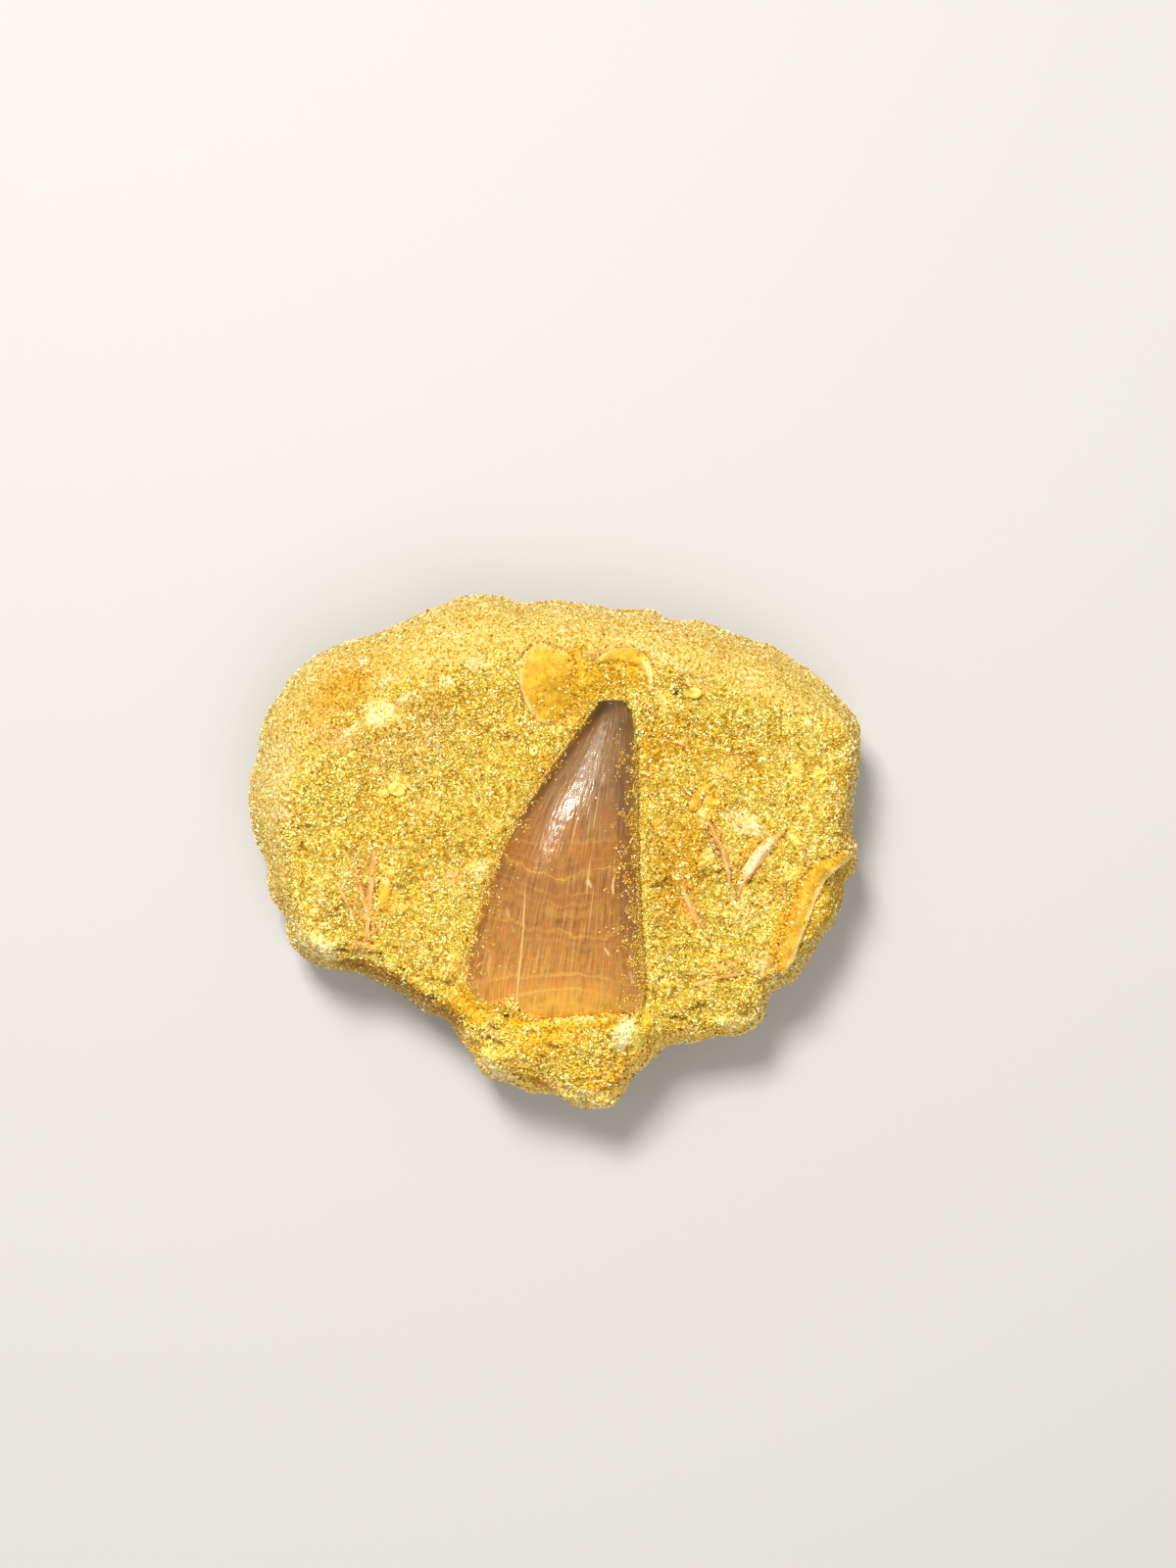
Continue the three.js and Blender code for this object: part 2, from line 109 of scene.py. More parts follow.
def write_values(mesh, name, values):
    mesh.attributes.new(name, "FLOAT", "POINT").data.foreach_set("value", values.astype(np.float32))


def fade(values, start, end):
    """0 at the start and 1 at the end, eased at both."""
    share = np.clip((values - start) / (end - start), 0, 1)
    return share * share * (3 - 2 * share)


def smooth_through(values, at):
    """The Catmull-Rom curve through evenly spaced values, at places that are counted in values."""
    padded = np.concatenate([[2 * values[0] - values[1]], values, [2 * values[-1] - values[-2]]])
    before = np.clip(at.astype(int), 0, len(values) - 2)
    t = at - before
    a, b, c, d = (padded[before + k] for k in range(4))
    return b + 0.5 * t * (c - a + t * (2 * a - 5 * b + 4 * c - d + t * (3 * (b - c) + d - a)))


def near_line(places, line, reach):
    """1 on a line of (x, y) points in millimetres, falling to 0 a few reaches away."""
    flat = places[:, :2] / MM
    nearest = np.full(len(flat), np.inf)
    for start, end in zip(np.array(line[:-1], float), np.array(line[1:], float)):
        way = end - start
        share = np.clip(((flat - start) @ way) / (way @ way), 0, 1)
        nearest = np.minimum(nearest, np.linalg.norm(flat - start - share[:, None] * way, axis=1))
    return np.exp(-((nearest / reach) ** 2))


def wrinkles(places, size, seed, stretch=(1, 1, 1)):
    """Smooth noise from -1 to 1 with features of this size in millimetres. A seed moves it to a place of its own."""
    scaled = places / (size * MM * np.array(stretch)) + 17.3 * seed
    return np.array([noise.noise(p) for p in scaled.tolist()])


def bow(share):
    """A sine or cosine, made a little squarer."""
    return np.sign(share) * np.abs(share) ** (2 / CROWN_SQUARENESS)


ring_points = points_of(merged("tooth_crown"))
ring_points = ring_points[np.argsort(ring_points[:, 1])]
crown_root, crown_tip = ring_points[0], ring_points[-1]
rings = ring_points[1:-1].reshape(-1, CAD_SIDES, 3)

# Each ring is four squarish quarter ellipses, so its edges, ridge and keel can be read back from it.
steepest = 2 * math.pi * (CAD_SIDES // 4) / CAD_SIDES
lean, rise = bow(math.cos(steepest)), bow(math.sin(steepest))
left, right = rings[:, :, 0].min(axis=1), rings[:, :, 0].max(axis=1)
highest = np.argsort(rings[:, :, 2], axis=1)[:, -2:]
beside_ridge = np.take_along_axis(rings[:, :, 0], highest, axis=1).sum(axis=1)
ridge = (beside_ridge - lean * (left + right)) / (2 - 2 * lean)
top = CROWN_GIRDLE + (rings[:, :, 2].max(axis=1) - CROWN_GIRDLE) / rise
keel = CROWN_GIRDLE + (rings[:, :, 2].min(axis=1) - CROWN_GIRDLE) / rise
rails = {"y": rings[:, 0, 1], "left": left, "right": right, "ridge": ridge, "top": top, "keel": keel}
along = np.linspace(0, len(rings) - 1, CROWN_ROWS)
rails = {name: smooth_through(values, along)[:, None] for name, values in rails.items()}

over = np.linspace(0, math.pi, CROWN_UPPER, endpoint=False)
under = np.linspace(math.pi, 2 * math.pi, CROWN_LOWER, endpoint=False)
angle = np.concatenate([over, under])[None, :]
across, up = bow(np.cos(angle)), bow(np.sin(angle))
half_width = np.where(across > 0, rails["right"] - rails["ridge"], rails["ridge"] - rails["left"])
half_height = np.where(up > 0, rails["top"] - CROWN_GIRDLE, CROWN_GIRDLE - rails["keel"])
grid = np.stack([
    rails["ridge"] + half_width * across,
    np.broadcast_to(rails["y"], half_width.shape),
    CROWN_GIRDLE + half_height * up,
], axis=-1)


def cap_rows(last, pole):
    """Rows that round off an end of the crown, from its last ring to its pole. The ends are rather blunt."""
    turn = np.linspace(0, math.pi / 2, CROWN_CAP_ROWS + 2)[1:-1, None, None]
    inward, onward = np.cos(turn) ** CAP_BLUNTNESS, np.sin(turn)
    return pole + (last - pole) * inward + np.array([0, 1, 0]) * (pole - last) * (onward - 1 + inward)


grid = np.concatenate([cap_rows(grid[0], crown_root)[::-1], grid, cap_rows(grid[-1], crown_tip)])
rows, columns = grid.shape[:2]
angles = np.broadcast_to(angle, (rows, columns)).ravel()
body = grid.reshape(-1, 3)

# The wrinkles run from root to tip, so they are drawn in the angle round the crown and stretched along it.
wrapped = np.stack([np.cos(angles) * CROWN_HALF_WIDTH, body[:, 1], np.sin(angles) * CROWN_HALF_WIDTH], axis=1)
streaks = wrinkles(wrapped, 0.34, 1, (1, 30, 1))
ribs = wrinkles(wrapped, 1.1, 2, (1, 14, 1))
dents = wrinkles(body, 4.5, 3, (1, 1.6, 1))
crinkles = wrinkles(body, 0.8, 4)
pits = np.clip(wrinkles(body, 0.5, 5) - 0.45, 0, 1)

# Growth lines across the crown from root to tip, in millimetres from left to right. The growth counts them.
GROWTH_LINES = [
    [(-13, -26), (12, -26)],
    [(-12.6, -24.6), (-7, -23.6), (-4.1, -21.4), (0, -19.6), (3.1, -20.1), (6.3, -21.4), (8.1, -22.8), (11.4, -24)],
    [(-12, -20.8), (-9, -20.6), (-6, -19.2), (0, -18.1), (3.5, -18), (7, -18.7), (10.6, -20.4)],
    [(-11.6, -18.4), (-9.7, -17.3), (-7.9, -16.7), (-3.2, -16.5), (3.1, -16.2), (6.3, -16.5), (8.8, -17.2), (11, -18)],
    [(-10, -7.4), (-3.9, -9.6), (-0.5, -10), (3.7, -11.1), (6.9, -11.1), (9.3, -10), (11.2, -8.3)],
    [(-8, 1), (-6.9, 0.2), (-2.7, -1.8), (0.5, -3.3), (4.2, -2.1), (7.8, -1.8), (10.6, -0.9)],
    [(-6.5, 1.9), (-3.3, 1.8), (0.5, 2), (4.2, 1.6), (7.2, 2.3), (10.5, 1.7)],
    [(-2, 9.6), (3, 10.4), (8, 9.8), (11.5, 9)],
    [(5, 22), (11, 22)],
]
GROWTH_COUNT = len(GROWTH_LINES) - 1
# The long pale split in the enamel, and shorter scratches with their reach and strength, in millimetres.
SPLIT = [(-5, -19.6), (-4.4, -13.9), (-4.1, -10.7), (-3.75, -3.4)]
SCRATCHES = [
    ([(4.8, -3.5), (5.1, -4.1)], 0.16, 1),
    ([(8.3, -3), (8.1, -4.2), (8.2, -5)], 0.14, 1),
    ([(7.1, -12.7), (7.6, -13.4)], 0.14, 1),
    ([(-6.2, -7.4), (-6.1, -8.3)], 0.12, 0.5),
    ([(-5.6, -9.7), (-5.3, -10.3)], 0.12, 0.5),
    ([(-8.6, -13), (-9, -16)], 0.1, 0.4),
    ([(10.6, -16), (10.9, -17.4)], 0.14, 0.7),
]
spot_x, spot_y = body[:, 0] / MM, body[:, 1] / MM
levels = np.stack([np.interp(spot_x, *zip(*line)) for line in GROWTH_LINES])
growth = sum(np.clip((spot_y - low) / (high - low), 0, 1) for low, high in zip(levels[:-1], levels[1:]))
# How far each spot is from the split and from either edge, and the painted shade that darkens both flanks, where the
# enamel is also a darker brown.
split = np.clip(spot_x - np.interp(spot_y, *zip(*[(y, x) for x, y in SPLIT])), -2, 2)
shaken = body.copy()
shaken[:, 0] += 0.12 * MM * wrinkles(body, 0.9, 7)
scratches = sum(strength * near_line(shaken, line, reach) for line, reach, strength in SCRATCHES)
turned = angles / math.pi  # 0 at the right edge, 1 at the left
edge_rows, left_edge, right_edge = (rails[name][:, 0] / MM for name in ("y", "left", "right"))
from_left = spot_x - np.interp(spot_y, edge_rows, left_edge)
from_right = np.interp(spot_y, edge_rows, right_edge) - spot_x
painted_flank_shade = np.maximum.reduce([
    0.75 * fade(from_left, 2.5, 1.3) * fade(spot_y, 0, 8),
    0.35 * fade(from_left, 3, 0.5),
    0.3 * fade(from_right, 3.4, 2.7) * fade(spot_y, 17, 9) * fade(spot_y, -14, -9)])

tangent_along = np.gradient(grid, axis=0)
tangent_round = np.roll(grid, -1, axis=1) - np.roll(grid, 1, axis=1)
crown_outward = np.cross(tangent_along, tangent_round).reshape(-1, 3)
crown_outward /= np.maximum(np.linalg.norm(crown_outward, axis=1, keepdims=True), 1e-12)
# The relief in millimetres.
relief = 0.02 * streaks + 0.025 * ribs + 0.1 * dents + 0.012 * crinkles - 0.08 * pits
relief -= 0.04 * np.clip(scratches, 0, 1)
body = body + crown_outward * (relief * MM)[:, None]
body = np.concatenate([body, [crown_root, crown_tip]])

index = np.arange(rows * columns).reshape(rows, columns)
following = np.roll(index, -1, axis=1)
quads = np.stack([index[:-1], index[1:], following[1:], following[:-1]], axis=-1).reshape(-1, 4)
root_fan = [[rows * columns, a, b] for a, b in zip(index[0], following[0])]
tip_fan = [[rows * columns + 1, b, a] for a, b in zip(index[-1], following[-1])]
crown_mesh = bpy.data.meshes.new("tooth")
crown_mesh.from_pydata(body.tolist(), [], quads.tolist() + root_fan + tip_fan)
# What the enamel is coloured by, each with its values at the root's pole and the tip's.
for name, values, ends in (("growth", growth, [0, GROWTH_COUNT]), ("split", split, [2, 2]),
                           ("painted_flank_shade", painted_flank_shade, [0, 0.5]), ("scratches", np.clip(scratches, 0, 1), [0, 0]),
                           ("turned", turned, [0, 0.5])):
    write_values(crown_mesh, name, np.append(values, ends))


def linear(colour):
    """An sRGB hex colour as linear RGBA."""
    parts = [int(colour[i:i + 2], 16) / 255 for i in (1, 3, 5)]
    return [p / 12.92 if p <= 0.04045 else ((p + 0.055) / 1.055) ** 2.4 for p in parts] + [1]


def fill(node, inputs):
    """Sets a node's inputs. Each is a value, an output, or a node whose main output is linked to it."""
    for key, value in inputs.items():
        if isinstance(value, bpy.types.Node):
            value = next(output for output in value.outputs if output.enabled)
        if isinstance(value, bpy.types.NodeSocket):
            node.id_data.links.new(value, node.inputs[key])
        else:
            node.inputs[key].default_value = value


def add(tree, kind, inputs=None, stops=None, **settings):
    """Adds a node with its settings, its inputs and, if it is a colour ramp, its stops. Most are shader nodes."""
    node = tree.nodes.new(kind if kind.startswith(("Geometry", "Function", "NodeGroup")) else "ShaderNode" + kind)
    for name, value in settings.items():
        setattr(node, name, value)
    fill(node, inputs or {})
    if stops:
        ramp = node.color_ramp
        for _ in stops[2:]:
            ramp.elements.new(0.5)
        for element, (place, colour) in zip(ramp.elements, stops):
            element.position = place
            element.color = linear(colour)
    return node


def new_material(name):
    material = bpy.data.materials.new(name)
    material.use_nodes = True
    tree = material.node_tree
    return material, tree, tree.nodes["Principled BSDF"]


# Apatite enamel, worn smooth: a crinkled gloss over fine threads, grey-brown at the tip and amber lower down.
enamel, tree, shader = new_material("fossil_enamel")
MIX = {"data_type": "RGBA"}
MULTIPLY = {"data_type": "RGBA", "blend_type": "MULTIPLY"}
place = add(tree, "TexCoord").outputs["Object"]
height = add(tree, "SeparateXYZ", {"Vector": place}).outputs["Y"]
age, turn, offset, scratch, flank_shade = (
    add(tree, "Attribute", attribute_name=name).outputs["Fac"]
    for name in ("growth", "turned", "split", "scratches", "painted_flank_shade"))
# The scales count features to the metre: clouds of 4 mm, sways of 2.4 mm and ripples of 0.8 mm.
cloud = add(tree, "TexNoise", {"Vector": place, "Scale": 240, "Detail": 3})
sway = add(tree, "TexNoise", {"Vector": place, "Scale": 420, "Detail": 1})
ripple = add(tree, "TexNoise", {"Vector": place, "Scale": 1300, "Detail": 3, "Roughness": 0.6})
drift = add(tree, "Math", {0: cloud, 1: 0.9, 2: age}, operation="MULTIPLY_ADD")
aged = add(tree, "MapRange", {"Value": drift, "From Min": 0.45, "From Max": 0.45 + GROWTH_COUNT})
base = add(tree, "ValToRGB", {"Fac": aged}, stops=[
    (0.02, "#c8942a"), (0.1, "#d8a234"), (0.2, "#d0983a"), (0.34, "#bc8236"), (0.48, "#a4702f"),
    (0.6, "#98662d"), (0.72, "#a26b2b"), (0.84, "#90693f"), (0.93, "#84633f"), (0.97, "#735230"),
    (0.985, "#5a3e24")])


def threads(across, along, detail, roughness=0.5):
    """Noise that follows the crown: features this many to its half girth, and this many to the metre along."""
    place = add(tree, "CombineXYZ", {
        "X": add(tree, "Math", {0: turn, 1: across}, operation="MULTIPLY"),
        "Y": add(tree, "Math", {0: height, 1: along}, operation="MULTIPLY")})
    return add(tree, "TexNoise", {"Vector": place, "Scale": 1, "Detail": detail, "Roughness": roughness})


# The half girth is some 24 mm, so the threads are 0.11 mm wide and 6 mm long, the bands 1.1 by 4 mm and the hairs
# 0.22 by 11 mm.
fine, bands, hair = threads(220, 170, 3, 0.7), threads(22, 260, 4, 0.65), threads(110, 90, 1)
streak = add(tree, "ValToRGB", {"Fac": fine}, stops=[(0.32, "#b09c80"), (0.45, "#e0d6c6"), (0.55, "#ffffff")])
streak_share = add(tree, "MapRange", {"Value": age, "From Min": 1, "From Max": 4, "To Min": 0.3, "To Max": 0.8})
banding = add(tree, "ValToRGB", {"Fac": bands}, stops=[(0.32, "#cfbcae"), (0.5, "#ffffff"), (0.66, "#ffdfa4")])
pale_threads = add(tree, "MapRange", {"Value": fine, "From Min": 0.57, "From Max": 0.68, "To Max": 0.28})
hairs = add(tree, "MapRange", {"Value": hair, "From Min": 0.67, "From Max": 0.73, "To Max": 0.3})

# The amber lines: a few strong ones where the growth is a whole number, and many faint ones between them.
wander = add(tree, "Math", {0: ripple, 1: 0.2, 2: age}, operation="MULTIPLY_ADD")
swayed = add(tree, "Math", {0: sway, 1: 0.3, 2: wander}, operation="MULTIPLY_ADD")
counted = add(tree, "Math", {0: swayed, 1: -0.25}, operation="ADD")
strong_stops = [(0, "#000000")]
for count, width, grey in ((1, 0.22, "#c8c8c8"), (2, 0.14, "#c0c0c0"), (3, 0.1, "#b0b0b0"), (4, 0.045, "#a0a0a0"),
                           (5, 0.05, "#a8a8a8"), (6, 0.06, "#808080")):
    strong_stops += [((count + side) / GROWTH_COUNT, shade)
                     for side, shade in ((-width, "#000000"), (0, grey), (width, "#000000"))]
strong = add(tree, "ValToRGB", {
    "Fac": add(tree, "Math", {0: counted, 1: 1 / GROWTH_COUNT}, operation="MULTIPLY")}, stops=strong_stops)
layered = add(tree, "TexNoise", {"Vector": add(tree, "CombineXYZ", {"X": counted}), "Scale": 7, "Detail": 2})
faint = add(tree, "ValToRGB", {"Fac": layered}, stops=[(0.5, "#000000"), (0.58, "#787878"), (0.63, "#000000")])
lower = add(tree, "MapRange", {"Value": age, "From Min": 6.6, "From Max": 5})
lines = add(tree, "Math", {0: faint, 1: lower, 2: strong}, operation="MULTIPLY_ADD")
patchy = add(tree, "MapRange", {"Value": cloud, "From Min": 0.35, "From Max": 0.6, "To Min": 0.3, "To Max": 1})
line_share = add(tree, "Math", {0: lines, 1: patchy}, operation="MULTIPLY", use_clamp=True)

# The split, shaken by the ripples, and the scratches show pale.
shifted = add(tree, "Math", {0: ripple, 1: 0.5, 2: offset}, operation="MULTIPLY_ADD")
centred = add(tree, "Math", {0: shifted, 1: -0.25}, operation="ADD")
split_line = add(tree, "MapRange", {
    "Value": add(tree, "Math", {0: centred}, operation="ABSOLUTE"),
    "From Min": 0.13, "From Max": 0.04, "To Max": 0.65})
split_reach = add(tree, "MapRange", {"Value": height, "From Min": -3.2 * MM, "From Max": -8 * MM})
scratched = add(tree, "Math", {0: scratch, 1: 0.8}, operation="MULTIPLY")
marks = add(tree, "Math", {0: split_line, 1: split_reach, 2: scratched},
            operation="MULTIPLY_ADD", use_clamp=True)
# All of it lies over the base in this order, and the painted shade on the flanks goes on last.
surface = base
for share, over, way in (
        (streak_share, streak, MULTIPLY), (0.8, banding, MULTIPLY), (pale_threads, linear("#d2a766"), MIX),
        (hairs, linear("#e2bc84"), MIX), (line_share, linear("#dda548"), MIX), (marks, linear("#e8c184"), MIX),
        (flank_shade, linear("#8f6540"), MULTIPLY)):
    surface = add(tree, "Mix", {0: share, 6: surface, 7: over}, **way)
# Crinkles 0.3 mm wide and 2 mm long break up the gloss.
bumps = add(tree, "Math", {0: fine, 1: 0.12, 2: threads(85, 520, 1.5)}, operation="MULTIPLY_ADD")
bump = add(tree, "Bump", {"Strength": 1, "Distance": 0.05 * MM, "Height": bumps})
fill(shader, {"Base Color": surface, "Roughness": 0.5, "Specular IOR Level": 0.2, "Normal": bump,
              "Coat Weight": 1, "Coat Roughness": 0.12, "Coat Normal": bump})
crown = new_piece("tooth", crown_mesh, enamel)
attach(crown, "root")
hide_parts("tooth_crown")

# ---- Shells and bones in the sand ----
# Bits of thin orange shell, fish bone and small phosphate pebbles that were buried with the tooth and lie in the
# same face. Each is one separate piece, cleaned on top and held by the sand below.

# Of each: its finish, and the lines along it that are raised or sunk, with the points and the reach in
# millimetres, the lift, and how pale it is there. Where it is sunk, the sand lies over it.
FRAGMENTS = {
    "shell_disc": ("amber_shell", [
        ([(-3.9, 27.4), (-4.6, 25.5), (-4.5, 23), (-3.4, 20.4), (-2, 18.6), (-0.5, 18)], 0.3, 0.15, 0.55),
        ([(-3.6, 27.8), (-2.4, 28.8), (0, 28.7), (1.6, 27.8)], 0.4, -0.1, 0.3),
        ([(3.4, 27.4), (3.6, 24), (2.8, 20.6), (1, 18)], 1.3, -0.2, 0)]),
    "shell_arc": ("amber_shell", [
        ([(12.8, 26.6), (13.5, 24.8), (13.3, 22.7)], 0.5, 0.1, 0.8),
        ([(6, 27.2), (8, 28.3), (10.3, 28.9), (12.6, 28)], 0.3, 0.1, 0.6),
        ([(6, 26), (8.4, 26), (10.6, 26.2), (12, 25.6)], 0.7, -0.15, 0)]),
    "shell_crescent": ("amber_shell", [
        ([(22.3, 10.2), (20.4, 9.9), (19, 8.2), (18.6, 6)], 0.3, 0.2, 0.7),
        ([(21.4, 8.4), (20.8, 7), (20.4, 5.6)], 0.5, -0.15, 0)]),
    "shell_plate": ("amber_shell", [
        ([(41.4, -0.8), (38.9, -2.3), (37, -4.9), (36.2, -7), (34.9, -10.4), (33.7, -13.8), (32.2, -17)],
         0.4, 0.3, 1),
        ([(39.5, 0.9), (36, -0.8), (33.2, -5.3), (31.9, -9.5), (30.8, -13.2), (30.2, -16.4)], 1.2, -0.25, 0)]),
    "orange_chip": ("amber_shell", [
        ([(-23.9, -3), (-22.9, -3.6)], 0.5, 0.05, 0.9),
        ([(-22.4, -3.6), (-22.5, -7)], 0.4, -0.15, 0)]),
    "bone_splinter": ("pale_bone", [
        ([(29.6, 2), (28.2, 0.4), (26.9, -1.8)], 0.75, 0, 1),
        ([(25, -5.6), (26.3, -2.6), (28.4, 0.8)], 0.4, -0.25, 0)]),
    "bone_rib": ("stained_bone", []),
    "fish_bone_fork": ("stained_bone", []),
    "fish_bone_strand": ("stained_bone", []),
    "bone_sliver_low": ("stained_bone", []),
    "bone_sliver_mid": ("stained_bone", []),
    "pebble_yellow": ("phosphate_pebble", []),
    "pebble_pale": ("phosphate_pebble", []),
    "pebble_upper": ("phosphate_pebble", []),
}
# The slot of each finish, and its middle, its pale and its dark colour.
FINISHES = {
    "amber_shell": ("orange_shell", "#c8981c", "#dcb030", "#aa7c12"),
    "pale_bone": ("pale_bone", "#c09248", "#d6b478", "#9c6828"),
    "stained_bone": ("stained_bone", "#cb9450", "#dfb478", "#a26c2c"),
    "phosphate_pebble": ("pebble", "#ecca58", "#f7e48c", "#c6942c"),
}


def finish_for(name):
    """Fossil shell, bone or pebble: mineral all through, satin and mottled. Bone is streaked along its length."""
    middle, pale, dark = FINISHES[name][1:]
    is_bone = name.endswith("bone")
    material, tree, shader = new_material(name)
    across, along, paleness = (add(tree, "Attribute", attribute_name=attribute).outputs["Fac"]
                               for attribute in ("across", "along", "paleness"))
    # Streaks 0.7 mm wide on bone, and mottles of 1.4 mm on shell and pebble.
    if is_bone:
        place, scale = add(tree, "CombineXYZ", {"X": across, "Y": along}), 1500
    else:
        place, scale = add(tree, "TexCoord").outputs["Object"], 700
    mottle = add(tree, "TexNoise", {"Vector": place, "Scale": scale, "Detail": 4, "Roughness": 0.65})
    colour = add(tree, "ValToRGB", {"Fac": mottle}, stops=[(0.32, dark), (0.48, middle), (0.64, pale)])
    rimmed = add(tree, "Mix", {
        0: add(tree, "Math", {0: paleness, 1: 0.85}, operation="MULTIPLY"),
        6: colour, 7: linear("#fbeec8" if is_bone else "#fae298")}, **MIX)
    bump = add(tree, "Bump", {"Strength": 0.9, "Distance": 0.2 * MM, "Height": mottle})
    fill(shader, {"Base Color": rimmed, "Roughness": 0.5, "Normal": bump})
    return material


fragment_materials = {name: finish_for(name) for name in FINISHES}


def normals_of(mesh):
    return read_rows(mesh.vertex_normals, "vector").astype(float)


def squared(mesh):
    """The same mesh, with its triangles joined into four-sided faces, so that it rounds off evenly."""
    shape = bmesh.new()
    shape.from_mesh(mesh)
    bmesh.ops.join_triangles(shape, faces=shape.faces, angle_face_threshold=0.9, angle_shape_threshold=1.2)
    shape.to_mesh(mesh)
    shape.free()
    return mesh


def modified(mesh, kind, inputs=None, **settings):
    """The plain mesh that one modifier makes from a mesh. Inputs are those of its node group, by name."""
    holder = new_object(mesh.name + ".holder", mesh)
    modifier = holder.modifiers.new("Shaping", kind)
    for name, value in settings.items():
        setattr(modifier, name, value)
    for item in modifier.node_group.interface.items_tree if inputs else []:
        if item.in_out == "INPUT" and item.name in inputs:
            modifier[item.identifier] = inputs[item.name]
    made = bpy.data.meshes.new_from_object(holder.evaluated_get(bpy.context.evaluated_depsgraph_get()))
    bpy.data.objects.remove(holder)
    return made


fragments = []
for number, (node, (finish, lines)) in enumerate(FRAGMENTS.items()):
    rounding = 3 if finish == "pale_bone" else 2
    mesh = modified(squared(merged(node)), "SUBSURF", levels=rounding, render_levels=rounding)
    places = points_of(mesh)
    outward = normals_of(mesh)
    middle = places.mean(axis=0)
    axis = np.linalg.svd((places - middle)[:, :2], full_matrices=False)[2][0]
    lengthways = (places - middle)[:, :2] @ axis / 7  # streaks seven times as long as wide
    sideways = (places - middle)[:, :2] @ [-axis[1], axis[0]]
    bumps = 0.16 * wrinkles(places, 1.3, 20 + number) + 0.08 * wrinkles(places, 0.5, 40 + number)
    paleness = np.zeros(len(places))
    covered = 0.5 * fade(wrinkles(places, 1.5, 60 + number), -0.2, 0.6)
    covered += 0.3 * np.clip(wrinkles(places, 0.6, 61 + number), 0, 1)
    for line, reach, lift, pale in lines:
        near = near_line(places, line, reach)
        places[:, 2] += near * lift * MM
        paleness = np.maximum(paleness, near * pale)
        covered = np.maximum(covered, near * (lift < 0))
    places += outward * (bumps * MM)[:, None]
    mesh.vertices.foreach_set("co", places.ravel())
    for name, values in (("paleness", paleness), ("along", lengthways), ("across", sideways), ("covered", covered)):
        write_values(mesh, name, values)
    piece = new_piece(node + ".fine", mesh, fragment_materials[finish])
    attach(piece, "root")
    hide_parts(node)
    fragments.append(piece)

# ---- The block of sand ----
# Phosphate sand, loosely cemented: golden grains with a rough broken face where the tooth was dug out, smoother
# worn slopes outside the crest, and faint layers on the sides. It closes round the tooth, the shells and the bones.

VOXEL = 0.45 * MM
# The sand near a piece is banked up to a fragment, and drawn against the piece where only a crevice is left.
SNAP_REACH = 0.95 * MM
SNAP_DEPTH = 0.06 * MM
BANK_LIFT, BANK_REACH = 0.4 * MM, 0.55 * MM
CROWN_CREVICE, FRAGMENT_CREVICE = 0.55 * MM, 0.75 * MM
BOX_MARGIN = 0.03 * MM  # all round, so that the sand stays inside the solids' box
UNDERSIDE_HEIGHT = 0.6 * MM
SECTOR = 2  # degrees of the outline that are measured together

# The width of the worn slope outside the crest, by bearing in degrees from +X.
WORN_SLOPE = [(0, 2.2), (22, 2.2), (38, 9), (62, 7.5), (90, 8), (118, 9), (148, 9), (176, 5), (202, 2), (230, 1),
              (318, 1), (340, 2), (360, 2.2)]
# Cracks and sunk seams where layers of sand part, and the raised edges of crusts: the line, its reach and its lift.
BREAKS = [
    ([(-33.9, -8.9), (-32.6, -9.5), (-29.9, -8.7), (-28.9, -7.2), (-28.2, -5.8)], 0.25, -0.5),
    ([(-32.2, -10.8), (-29.2, -9.9)], 0.25, -0.5),
    ([(-30.2, -13.5), (-28.8, -13.8)], 0.3, -0.8),
    ([(-24.7, -14.4), (-23.9, -14.8)], 0.3, -0.9),
    ([(-21.6, -15.7), (-20.8, -16.2)], 0.25, -0.8),
    ([(-33, -11.8), (-30.5, -12.2), (-27, -12.6), (-24.5, -13)], 0.5, 0.5),
    ([(-17.6, -19.9), (-16.8, -20.2)], 0.35, -0.7),
    ([(-7.5, -21.5), (-5.8, -21.9), (-4.1, -21.7)], 0.22, -0.8),
    ([(-8.8, -23.1), (-7.7, -24.1)], 0.25, -0.7),
    ([(-9.9, -25), (-8.8, -25.2), (-6.8, -26.3)], 0.28, -1),
    ([(-11, -27.2), (-8, -27.6), (-5.4, -27)], 0.5, 0.45),
    ([(-1.4, -23.3), (2.6, -22.8), (7.4, -22.6), (9.6, -22.6)], 0.45, 0.5),
    ([(-3, -24.6), (1, -24), (5.6, -24.3)], 0.6, -0.5),
    ([(10.8, -24), (10.8, -27)], 1, 0.5),
    ([(-5, -30.6), (-2.4, -31.6), (-0.2, -32.6)], 0.45, -1.2),
    ([(2, -34), (4.4, -34.8)], 0.4, -0.8),
    ([(-1.4, -31.2), (1.4, -33.2), (3.4, -34), (8, -34.6)], 0.5, 0.6),
    ([(17, 22.3), (17.9, 21.8)], 0.45, -2),
    ([(21.3, 24.3), (23, 21.6), (25.1, 19)], 0.6, -0.4),
    ([(21.5, 6.1), (24.4, 5.4), (25.5, 3.9)], 0.35, -0.6),
    ([(21.3, 3.5), (23, -0.2), (23.7, -3.6)], 0.4, -0.5),
    ([(30.4, 0.6), (29, -1.2), (27.4, -3.8)], 0.5, -0.6),
    ([(26, 4.6), (27.8, 3.8)], 1, 0.4),
    ([(13.8, -10), (15.4, -10.6)], 0.3, -0.6),
    ([(17.6, -16.6), (19.4, -17.2)], 0.3, -0.7),
    ([(16.6, -22.8), (18.4, -23.2)], 0.35, -0.7),
    ([(-23, 8), (-21.8, 7.7), (-20.4, 7.9)], 0.25, -0.3),
]

# The edge of the steep side at the lower left, in millimetres.
LEDGE = [(-30.7, -13.9), (-26.4, -14.1), (-23.6, -15.2), (-21.2, -16.4), (-18, -18.6), (-13.3, -20.4)]


